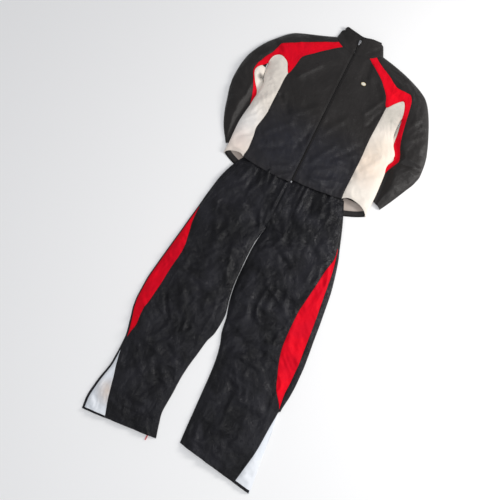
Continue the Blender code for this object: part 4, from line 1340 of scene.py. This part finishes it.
@dataclass
class Loop:
    """A ring of round wire, or a plate with a hole: a closed profile carried round an oval.

    Attributes:
        name: the piece's name.
        centre: its middle in millimetres.
        outside: the oval's full width and length.
        hole: the hole's full width and length.
        thick: its thickness in millimetres.
        finish: what it is made of.
        square: how boxed the outline is, 1 round and near 0 square.
        hole_shift: how far the hole lies from the middle, along y.
        body: the body that it rides on.
    """

    name: str
    centre: tuple[float, float, float]
    outside: tuple[float, float]
    hole: tuple[float, float]
    thick: float
    finish: Hard
    square: float = 1.0
    hole_shift: float = 0.0
    body: str = ROOT

    def build(self) -> bpy.types.Object:
        """Points lie between the hole's oval and the outside's by a rounded profile's share."""
        turn = np.linspace(0, 2 * math.pi, 49)[:-1, None]
        lap = np.linspace(0, 2 * math.pi, 13)[None, :-1]
        share = 0.5 + 0.5 * np.sign(np.cos(lap)) * np.abs(np.cos(lap)) ** 0.5
        z = self.thick / 2 * np.sign(np.sin(lap)) * np.abs(np.sin(lap)) ** 0.5 + 0 * turn

        def oval(size: tuple[float, float], power: float) -> Grid:
            """A superellipse's points."""
            ways = (np.cos(turn), np.sin(turn))
            return np.stack([s / 2 * np.sign(w) * np.abs(w) ** power for s, w in zip(size, ways)], axis=-1)

        inner = oval(self.hole, 1.0) + np.array([0, self.hole_shift])
        plan = inner * (1 - share[..., None]) + oval(self.outside, self.square) * share[..., None]
        points = np.concatenate([plan, z[..., None]], axis=-1) + self.centre
        faces = quads(48, 12, round_rows=True, round_columns=True, turned=True)
        return mesh_piece(self.name, points, faces, self.finish, self.body)


@dataclass
class JacketBody:
    """The jacket's fronts, side panels, back, and what shows inside its open hem.

    Attributes:
        front_columns: columns across one front.
        side_columns: columns across one side panel.
        back_columns: columns across the back.
        hem_stitch: how far up the front hem its stitches run.
    """

    front_columns: int = 48
    side_columns: int = 26
    back_columns: int = 60
    hem_stitch: float = 20.0

    def build(self) -> None:
        """Makes every piece of the body."""
        for side, seam, sign in (("left", "seam_l", -1), ("right", "seam_r", 1)):
            self._front(side, PLAN.torso[seam], sign)
        for side, seam, edge in (("left", "seam_l", "side_l"), ("right", "seam_r", "side_r")):
            self._side(side, PLAN.torso[seam], PLAN.torso[edge])
        self._back()
        self._hem_insides()

    def _front(self, side: str, seam: Grid, sign: int) -> None:
        """One front, ruled from the zip to the side seam and the raglan seam above it."""
        raglan = PLAN.sleeve[side]["inner"][:NOTCH_ROW * STEPS][::-1]
        outside = np.concatenate([seam, raglan])
        outside[-1, 1] = raglan[-1, 1]
        zip_y = np.interp(outside[:, 1], [201, 787], [FRONT_HEM_Y, NECK_Y])
        zip_edge = np.stack([np.full(len(outside), ZIP_X + sign * ZIP_HALF), zip_y], axis=-1)
        grid = ruled(zip_edge, outside, evenly(self.front_columns), bow=-6.0)
        edges = (Edge.SEAM, Edge.SEAM, Edge.HEM, Edge.SEAM)
        Panel(f"jacket_front_{side}", grid, Layers.jacket, Layers.jacket_base, BLACK, edges,
              rests_on=("jacket_back",)).build()
        rise = int(round(self.hem_stitch / 5))
        Stitches(f"hem_stitches_{side}", grid[rise], Layers.jacket, BLACK_THREAD).build()
        placket = np.stack([zip_edge[4:, 0] + sign * 7.5, zip_edge[4:, 1]], axis=-1)
        Stitches(f"placket_stitches_{side}", placket, Layers.jacket, BLACK_THREAD).build()
        beside = inset(grid, (0, 2.2, 0, 0))[:, -1]
        Stitches(f"front_seam_stitches_{side}", beside, Layers.jacket, BLACK_THREAD).build()

    def _side(self, side: str, seam: Grid, edge: Grid) -> None:
        """One side panel, from its seam on the front to the side fold, arched into the armhole."""
        notch, tip, armpit = (row * STEPS for row in (NOTCH_ROW, TIP_ROW, ARMPIT_ROW))
        sleeve = PLAN.sleeve[side]["inner"]
        inner = np.concatenate([seam, sleeve[notch + 1:tip]])
        outer = np.concatenate([edge, sleeve[tip + 1:armpit][::-1]])
        grid = ruled(inner, outer, to_edge(self.side_columns), bow=SIDE_ARCH[side])
        edges = (Edge.SEAM, Edge.FOLD, Edge.HEM, Edge.SEAM)
        Panel(f"side_panel_{side}", grid, Layers.jacket, Layers.jacket_base, IVORY, edges,
              rests_on=("jacket_back",)).build()
        Stitches(f"side_hem_stitches_{side}", grid[4], Layers.jacket, IVORY_THREAD).build()

    def _back(self) -> None:
        """The back: level where it rests, and up over the tucked forearms."""
        left, right = (
            np.concatenate([PLAN.torso[edge], raglan_line(side)[:-1][::-1]])
            for side, edge in (("left", "side_l"), ("right", "side_r"))
        )
        body = len(PLAN.torso["side_l"])
        left[:body, 0] += BACK_INSET
        right[:body, 0] -= BACK_INSET
        grid = ruled(left, right, evenly(self.back_columns), bow=-HEM_DROP, bow_rows=5)
        grid = np.concatenate([grid[:STEPS * 3:2], grid[STEPS * 3:-1:4], grid[-1:]])
        edges = (Edge.SEAM, Edge.SEAM, Edge.HEM, Edge.SEAM)
        back_panel("jacket_back", grid, Layers.jacket_base, BACK_BLACK, edges)

    @staticmethod
    def _hem_line(rise: float, count: int = 72) -> Grid:
        """The back hem's line of points, raised up the jacket."""
        t = np.linspace(0, 1, count + 1)
        x = HEM_ENDS[0] + t * (HEM_ENDS[1] - HEM_ENDS[0])
        y = HEM_END_Y - HEM_DROP * (1 - np.abs(2 * t - 1) ** 3)
        return np.stack([x, y + rise], axis=-1)

    def _hem_insides(self) -> None:
        """The black facing along the back hem and the grey-beige lining above it."""
        low, high = (self._hem_line(rise) for rise in FACING_RISE)
        top = high.copy()
        top[:, 1] = LINING_TOP_Y
        above = BACK_CLOTH + LINING_LIFT
        ripple = Ripple(26.0, 61, lean=80.0, stretch=2.0)

        def lining(x: Grid, y: Grid) -> Grid:
            """The lining's height: just off the back, a little rumpled away from the facing."""
            return Layers.jacket_base(x, y) + above + 1.0 + 0.5 * ripple.at(x, y)

        def on_back(x: Grid, y: Grid) -> Grid:
            """The upper side of the back."""
            return Layers.jacket_base(x, y) + BACK_CLOTH + 0.4

        edges = (Edge.HEM, Edge.HEM, Edge.HEM, Edge.HEM)
        Panel("hem_facing", np.linspace(low, high, 7), lining, on_back, BLACK, edges,
              rests_on=("jacket_back",)).build()
        Panel("hem_lining", np.linspace(high, top, 14), lining, on_back, BEIGE, edges,
              rests_on=("jacket_back",)).build()
        Stitches("facing_stitches", self._hem_line(FACING_RISE[1] - 3.0), lining, BLACK_THREAD).build()


def raglan_line(side: str) -> Grid:
    """The back's straighter seam from the neck to the armpit, with a point for each sleeve row."""
    rows = PLAN.sleeve[side]["inner"]
    armpit = ARMPIT_ROW * STEPS
    t = np.linspace(0, 1, armpit + 1)[:, None]
    return rows[0] * (1 - t) + rows[armpit] * t


def back_panel(node: str, grid: Grid, base: Layer, finish: Nylon,
               edges: tuple[Edge, Edge, Edge, Edge]) -> None:
    """A back panel, level on its base.

    Args:
        node: the solid that it stands for.
        grid: its plan points.
        base: what it lies on.
        finish: its cloth.
        edges: its first and last columns, then its first and last rows.
    """

    def top(x: Grid, y: Grid) -> Grid:
        """The upper side: one cloth's thickness off the base."""
        return base(x, y) + BACK_CLOTH

    flat = tuple(Edge.HEM if edge is Edge.SEAM else edge for edge in edges)
    Panel(node, inset(grid, [0.15 if edge is Edge.SEAM else 0 for edge in edges]), top, base, finish, flat,
          thick=BACK_CLOTH - 0.06).build()


@dataclass
class Sleeves:
    """Both sleeves: black top, red insert, white strip inside and black under half.

    Attributes:
        top_columns: columns across a black top.
        red_columns: columns across a red insert.
        white_columns: columns across a white strip.
        hem_row: how many rows above the cuff its stitches run.
    """

    top_columns: int = 34
    red_columns: int = 16
    white_columns: int = 12
    hem_row: int = 5

    def build(self) -> None:
        """Makes both sleeves."""
        armpit = ARMPIT_ROW * STEPS
        for side in ("left", "right"):
            rows = PLAN.sleeve[side]
            grid = ruled(rows["red_end"], rows["outer"], to_edge(self.top_columns))
            self._panel(f"sleeve_{side}", grid, BLACK, (Edge.SEAM, Edge.FOLD, Edge.SEAM, Edge.HEM))
            Stitches(f"cuff_stitches_{side}", grid[-self.hem_row], Layers.sleeve, BLACK_THREAD).build()
            beside = inset(grid, (2.2, 0, 0, 0))[:, 0]
            Stitches(f"sleeve_seam_stitches_{side}", beside, Layers.sleeve, BLACK_THREAD).build()
            grid = ruled(rows["white_end"], rows["red_end"], evenly(self.red_columns))
            self._panel(f"raglan_red_{side}", grid, RED, SEWN)
            white = slice(armpit + STEPS // 2, None)
            grid = ruled(rows["inner"][white], rows["white_end"][white], to_edge(self.white_columns, True))
            self._panel(f"underarm_{side}", grid, IVORY, (Edge.FOLD, Edge.SEAM, Edge.SEAM, Edge.HEM))
            self._under(side, armpit)

    @staticmethod
    def _panel(node: str, grid: Grid, finish: Nylon, edges: tuple[Edge, Edge, Edge, Edge]) -> None:
        """One panel of a sleeve's upper side."""
        under = f"sleeve_back_{node.rsplit('_', 1)[1]}"
        Panel(node, grid, Layers.sleeve, Layers.floor, finish, edges, rests_on=(under,)).build()

    @staticmethod
    def _under(side: str, armpit: int) -> None:
        """The under half of a sleeve, level on the floor."""
        rows = PLAN.sleeve[side]
        inner = np.concatenate([raglan_line(side), rows["inner"][armpit + 1:]])
        grid = inset(ruled(inner, rows["outer"], evenly(20)), (0, BACK_INSET, 0, 0))
        hidden = inset(grid[armpit - 1:], (BACK_INSET + 1, 0, 0, 0))
        grid = np.concatenate([grid[:armpit - 1], hidden])[::3]
        back_panel(f"sleeve_back_{side}", grid, Layers.floor, BACK_BLACK, SEWN)


@dataclass
class Collar:
    """The stand collar: two fronts that lean back, and the back's inside behind them."""

    rows: int = 22
    back_rows: int = 18

    @staticmethod
    def _height(x: Grid, y: Grid) -> Grid:
        """The fronts' height: the jacket's layer, with a roll along the top edge and two soft folds."""
        folds = folded(x, y, [Fold(-96, 846, -49, 792, 9, -2.2), Fold(30, 800, 62, 846, 9, -2.0),
                              Fold(-75, 850, -45, 835, 8, 1.2), Fold(20, 850, 48, 836, 8, 1.2)])
        edge = np.interp(x, COLLAR_EDGE_X, COLLAR_EDGE_Y)
        roll = 1.3 * np.exp(-(((edge - y) - 3.0) / 4.0) ** 2)
        return Layers.jacket(x, y) + folds * smooth(np.abs(x - ZIP_X), 5, 20) + roll

    def build(self) -> None:
        """Makes the collar's three pieces and the stitches at its foot."""
        left = (((ZIP_X - ZIP_HALF, NECK_Y), (-48, 779.5), (-73, 787), (-97, 803), (-113, 827)),
                ((ZIP_X - ZIP_HALF, 854), (-44, 860), (-68, 862), (-88, 864), (-106, 862)))
        right = (((ZIP_X + ZIP_HALF, NECK_Y), (13, 779.5), (43, 787), (67, 806), (89, 826)),
                 ((ZIP_X + ZIP_HALF, 854), (4, 860), (28, 867), (52, 871), (72, 866)))
        edges = (Edge.SEAM, Edge.FOLD, Edge.SEAM, Edge.HEM)
        for side, (foot, top) in (("left", left), ("right", right)):
            low, high = bent(foot, 8), bent(top, 8)
            grid = np.linspace(low, high, self.rows)
            Panel(f"collar_{side}", grid, self._height, Layers.floor, BLACK, edges, thick=1.4,
                  rests_on=("collar_back",)).build()
            Stitches(f"collar_foot_stitches_{side}", grid[2], self._height, BLACK_THREAD).build()
            Stitches(f"collar_top_stitches_{side}", grid[-3], self._height, BLACK_THREAD).build()
        low = np.stack([np.linspace(-88, 62, 41), np.full(41, 815.0)], axis=-1)
        high = bent([(-97, 874), (-88, 883), (-56, 876), (-16, 869), (30, 876), (60, 876)], 8)
        Panel("collar_back", np.linspace(low, high, self.back_rows), self._inside, self._below, BLACK,
              (Edge.HEM, Edge.HEM, Edge.HEM, Edge.HEM), thick=1.3, rests_on=("jacket_back",)).build()

    @staticmethod
    def _below(x: Grid, y: Grid) -> Grid:
        """What the collar's back rests on."""
        return 1.0 + COLLAR_BACK_RISE * smooth(y, 856, 872)

    @classmethod
    def _inside(cls, x: Grid, y: Grid) -> Grid:
        """The back's inner face, which rises behind the fronts to its top edge."""
        return cls._below(x, y) + 1.5 + 0.4 * np.sin(x / 9.0) * smooth(y, 860, 880)


@dataclass
class FrontZip:
    """The front zip: tapes, coil, slider, pull tab and lower box.

    Attributes:
        pitch: the coil's pitch in millimetres.
        slider_y: the slider's middle.
        pull_top: the pull tab's upper end.
        stop: the lower box's middle in plan.
    """

    pitch: float = 2.6
    slider_y: float = 836.0
    pull_top: float = 839.0
    stop: tuple[float, float] = (-20.0, 189.7)

    @staticmethod
    def level(x: Grid, y: Grid) -> Grid:
        """The zip's own height, a little under the fronts beside it."""
        return Layers.jacket(np.full(np.shape(x), ZIP_X), y) - 0.6

    def build(self) -> None:
        """Makes the zip's pieces from the tape up."""
        y = np.linspace(*CHAIN_ENDS, 160)
        places = np.linspace(ZIP_X - ZIP_HALF, ZIP_X + ZIP_HALF, 7)
        grid = np.stack(np.meshgrid(places, y), axis=-1)
        Panel("zip_chain", grid, self.level, Layers.jacket_base, BACK_BLACK, SEWN, thick=0.7,
              rests_on=("jacket_front_left", "jacket_front_right")).build()
        for side in (-1, 1):
            line = np.stack([np.full(160, ZIP_X + side * 0.85), y + (side > 0) * self.pitch / 2], axis=-1)
            Stitches(f"zip_coil_{'left' if side < 0 else 'right'}", line, self.level, COIL, self.pitch,
                     long=1.7, wide=2.2, lift=0.5).build()
        self._slider()

    def _slider(self) -> None:
        """Slider body and bridge, the tab that hangs on the bridge, and the box at the foot."""
        level = float(Layers.jacket(np.array([ZIP_X]), np.array([self.slider_y]))[0])
        body = Pebble("zip_slider_body", (ZIP_X, self.slider_y, level + 1.5), (9.0, 13.0, 2.4),
                      SILVER, 0.55).build()
        Pebble("zip_slider_bridge", (ZIP_X, self.slider_y + 1.5, level + 2.7), (2.4, 9.0, 1.4),
               SILVER, 0.5).build()
        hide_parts("zip_slider")
        low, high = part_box("zip_pull")
        middle = (ZIP_X, self.pull_top - 10.0, (low.z + high.z) / 2 / MM)
        pull = Loop("zip_pull_tab", middle, (6.0, 20.0), (2.6, 3.4), 1.5, SILVER, 0.45, 7.0,
                    body="zip_pull").build()
        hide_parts("zip_pull")
        foot = float(Layers.jacket(*(np.array([k]) for k in self.stop))[0])
        box = Pebble("zip_lower_box", (*self.stop, foot - 0.2), (5.4, 7.0, 3.0), SILVER, 0.4).build()
        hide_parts("zip_stop")


@dataclass
class ChestPatch:
    """The small plain oval patch: a cream face in a gold rim."""

    place: tuple[float, float] = (65.0, 672.0)
    size: tuple[float, float] = (20.0, 15.0)

    def build(self) -> None:
        """Makes the rim as a ring and the face as a low dome inside it."""
        level = float(Layers.jacket(*(np.array([k]) for k in self.place))[0]) + 0.9
        wide, long = self.size
        rim = Loop("patch_rim", (*self.place, level + 0.4), self.size, (wide - 3.2, long - 3.2), 1.3,
                   GOLD).build()
        Pebble("patch_face", (*self.place, level + 0.2), (wide - 2.4, long - 2.4, 1.5), CREAM,
               1.0, 0.6).build()
        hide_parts("chest_badge")


@dataclass
class Trousers:
    """Both legs, their red crescents, black side strips, white ankle gussets, fly and waist.

    Attributes:
        front_columns: columns across a leg's front.
        crescent_columns: columns across a red insert.
        gusset_columns: columns across a gusset.
        hem_rows: how many rows above the hem its stitches run.
    """

    front_columns: int = 72
    crescent_columns: int = 18
    gusset_columns: int = 20
    hem_rows: int = 6

    def build(self) -> None:
        """Makes each leg's pieces, then the waist."""
        for side in ("left", "right"):
            self._front(side)
            self._crescent(side)
            self._gusset(side)
            self._strip(side)
            self._back(side)
        self._waist()
        low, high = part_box("ankle_pull")
        middle = tuple((a + b) / 2 / MM for a, b in zip(low, high))
        tab = Loop("ankle_pull_cord", middle, (4.0, 18.0), (1.2, 12.0), 2.6, RED_CORD, 0.8).build()
        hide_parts("ankle_pull")

    @staticmethod
    def _panel(node: str, grid: Grid, finish: Nylon, edges: tuple[Edge, Edge, Edge, Edge],
               thick: float = 0.8, raised: float = 0.0) -> Panel:
        """One panel of a leg's upper side, built."""
        side = node.rsplit("_", 1)[1] if node.endswith(("left", "right")) else "left"
        under = f"trouser_back_{side}"
        panel = Panel(node, grid, Layers.trousers, Layers.trouser_base, finish, edges, thick, raised,
                      under=4.6, rests_on=(under,))
        panel.build()
        return panel

    def _front(self, side: str) -> None:
        """A leg's front, ruled from the inseam to the panel seam."""
        rows = PLAN.leg[side]
        places = 1 - (1 - evenly(self.front_columns)) ** 1.25
        grid = ruled(rows["inner"], rows["panel"], 1 - places[::-1])
        self._panel(f"trouser_front_{side}", grid, CRINKLE, (Edge.FOLD, Edge.SEAM, Edge.SEAM, Edge.HEM))
        Stitches(f"leg_hem_stitches_{side}", grid[-self.hem_rows, 3:], Layers.trousers, BLACK_THREAD).build()
        beside = inset(grid, (0, 2.4, 0, 0))[2:, -1]
        Stitches(f"leg_seam_stitches_{side}", beside, Layers.trousers, BLACK_THREAD).build()
        if side == "right":
            share = np.linspace(1 / 11, 3 / 11, 15)
            first, last = STEPS // 2, STEPS * 3
            flap = ruled(rows["inner"][first:last], rows["panel"][first:last], share)
            self._panel("fly_flap", flap, CRINKLE, (Edge.HEM,) * 4, raised=1.3)
            Stitches("fly_stitches", flap[:, -3], Layers.trousers, BLACK_THREAD, lift=1.5).build()

    def _crescent(self, side: str) -> None:
        """A leg's red insert, pointed at both ends."""
        rows = PLAN.leg[side]
        first, last = (row * STEPS for row in CRESCENT_ROWS[side])
        cut = slice(first + 1, last)
        grid = ruled(rows["panel"][cut], rows["strip"][cut], evenly(self.crescent_columns))
        self._panel(f"crescent_{side}", grid, RED, SEWN)

    def _gusset(self, side: str) -> None:
        """A leg's white ankle gusset with its black hem band."""
        rows = PLAN.leg[side]
        first, last = (row * STEPS for row in GUSSET_ROWS[side])
        cut = slice(first + 1, last + 1)
        folded_edge = side == "right"
        places = to_edge(self.gusset_columns) if folded_edge else evenly(self.gusset_columns)
        grid = ruled(rows["panel"][cut], rows["strip"][cut], places)
        edges = (Edge.SEAM, Edge.FOLD if folded_edge else Edge.SEAM, Edge.SEAM, Edge.HEM)
        self._panel(f"gusset_{side}", grid, WHITE, edges)
        share = np.linspace(0.35, 0.0, 5)[:, None, None]
        band = grid[-1 - STEPS // 2] * share + grid[-1] * (1 - share)
        band = band[:, :-3] if folded_edge else band
        self._panel(f"gusset_hem_{side}", band, CRINKLE, (Edge.HEM,) * 4, thick=0.7, raised=0.9)

    def _strip(self, side: str) -> None:
        """The narrow black strip outside the red, which turns under at the leg's side."""
        rows = PLAN.leg[side]
        end = STRIP_ROWS[side] * STEPS + 1
        grid = ruled(rows["strip"], rows["outer"], to_edge(7))[:end]
        self._panel(f"side_strip_{side}", grid, CRINKLE, (Edge.SEAM, Edge.FOLD, Edge.SEAM, Edge.HEM))

    @staticmethod
    def _back(side: str) -> None:
        """A leg's back, level on the floor and up over the jacket's back hem."""
        rows = PLAN.leg[side]
        grid = inset(ruled(rows["outer"], rows["inner"], evenly(36)), (TROUSER_INSET, SEAM_GAP / 2, 0, 0))
        below = CROTCH_ROWS[side] * STEPS
        lower = inset(grid[below:], (0, TROUSER_INSET, 0, 0))
        grid = np.concatenate([grid[:below], lower])[::3]
        back_panel(f"trouser_back_{side}", grid, Layers.trouser_base, CRINKLE, SEWN)

    def _waist(self) -> None:
        """The elastic waist inside the jacket, front and back."""
        left, right = (np.array([PLAN.leg[side]["outer"][0], WAIST_ENDS[side]]) for side in PLAN.leg)
        seam = np.linspace(left[0] + (7, 0), right[0] - (4, 0), 85)
        seam[:, 1] = np.interp(seam[:, 0], (-226, -26, 190), (205, 205, 212)) + 2 * SEAM_GAP
        seam[[0, -1], 1] += WAIST_CORNER
        grid = np.linspace(seam, np.linspace(left[1], right[1], 85), 10)
        self._panel("waistband_front", grid, CRINKLE, (Edge.FOLD, Edge.FOLD, Edge.SEAM, Edge.HEM))
        low = TROUSER_INSET + 1
        back_panel("waistband_back", inset(grid, (low, low, 0, 0)), Layers.trouser_base, CRINKLE,
                   (Edge.HEM, Edge.HEM, Edge.SEAM, Edge.HEM))


@dataclass
class Studio:
    """A plain pale floor, soft light from the upper right, and the camera at the photo's angle.

    Attributes:
        target: the point that the camera looks at, in metres.
        azimuth: how far the camera is turned, in degrees.
        elevation: how high it stands, in degrees.
        away: its distance from the target.
        lens: its focal length in millimetres.
    """

    target: tuple[float, float, float] = (-0.0715, -0.124, 0.0)
    azimuth: float = 26.0
    elevation: float = 78.0
    away: float = 2.25
    lens: float = 43.63

    def build(self) -> None:
        """Makes the floor, the lights, the world and the camera."""
        self._floor()
        self._light("key", (2.2, 1.1, 1.15), (-0.1, 0.0, 0.0), 0.7, 50.0, (1.0, 0.985, 0.965))
        self._light("top", (0.9, -0.9, 2.8), (-0.2, -0.2, 0.0), 2.4, 28.0, (0.96, 0.98, 1.0))
        world = bpy.data.worlds.new("pale")
        world.use_nodes = True
        world.node_tree.nodes["Background"].inputs["Color"].default_value = (0.93, 0.95, 1.0, 1.0)
        world.node_tree.nodes["Background"].inputs["Strength"].default_value = 0.54
        bpy.context.scene.world = world
        bpy.context.scene.view_settings.view_transform = "Standard"
        self._camera()

    @staticmethod
    def _floor() -> None:
        """A wide pale floor just under the set."""
        mesh = bpy.data.meshes.new("floor")
        wide, level = 6.0, -0.0006
        corners = [(-wide, -wide, level), (wide, -wide, level), (wide, wide, level), (-wide, wide, level)]
        mesh.from_pydata(corners, [], [[0, 1, 2, 3]])
        floor = bpy.data.objects.new("floor", mesh)
        dye = Dye("pale_floor")
        dye.finish(Base_Color=(0.94, 0.93, 0.915), Roughness=0.7)
        mesh.materials.append(dye.material)
        bpy.context.scene.collection.objects.link(floor)

    @staticmethod
    def _light(name: str, place: tuple, aim: tuple, size: float, power: float, colour: tuple) -> None:
        """A square area light that faces a point."""
        lamp = bpy.data.lights.new(name, "AREA")
        lamp.size = size
        lamp.energy = power
        lamp.color = colour
        light = bpy.data.objects.new(name, lamp)
        light.location = place
        light.rotation_euler = (Vector(aim) - Vector(place)).to_track_quat("-Z", "Y").to_euler()
        bpy.context.scene.collection.objects.link(light)

    def _camera(self) -> None:
        """The camera on its arc about the target, level and with everything sharp."""
        turn, rise = math.radians(self.azimuth), math.radians(self.elevation)
        back = Vector((math.sin(turn) * math.cos(rise), -math.cos(turn) * math.cos(rise), math.sin(rise)))
        data = bpy.data.cameras.new("view")
        data.lens = self.lens
        data.sensor_width = 36.0
        camera = bpy.data.objects.new("view", data)
        camera.location = Vector(self.target) + back * self.away
        camera.rotation_euler = (-back).to_track_quat("-Z", "Y").to_euler()
        bpy.context.scene.collection.objects.link(camera)
        bpy.context.scene.camera = camera


def main() -> None:
    """Dresses the frame."""
    logging.basicConfig(level=logging.INFO, format="%(name)s %(message)s")
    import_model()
    for assembly in (Studio(), JacketBody(), Sleeves(), Collar(), FrontZip(), ChestPatch(), Trousers()):
        LOG.info("building %s", type(assembly).__name__)
        assembly.build()


if __name__ == "__main__":
    main()
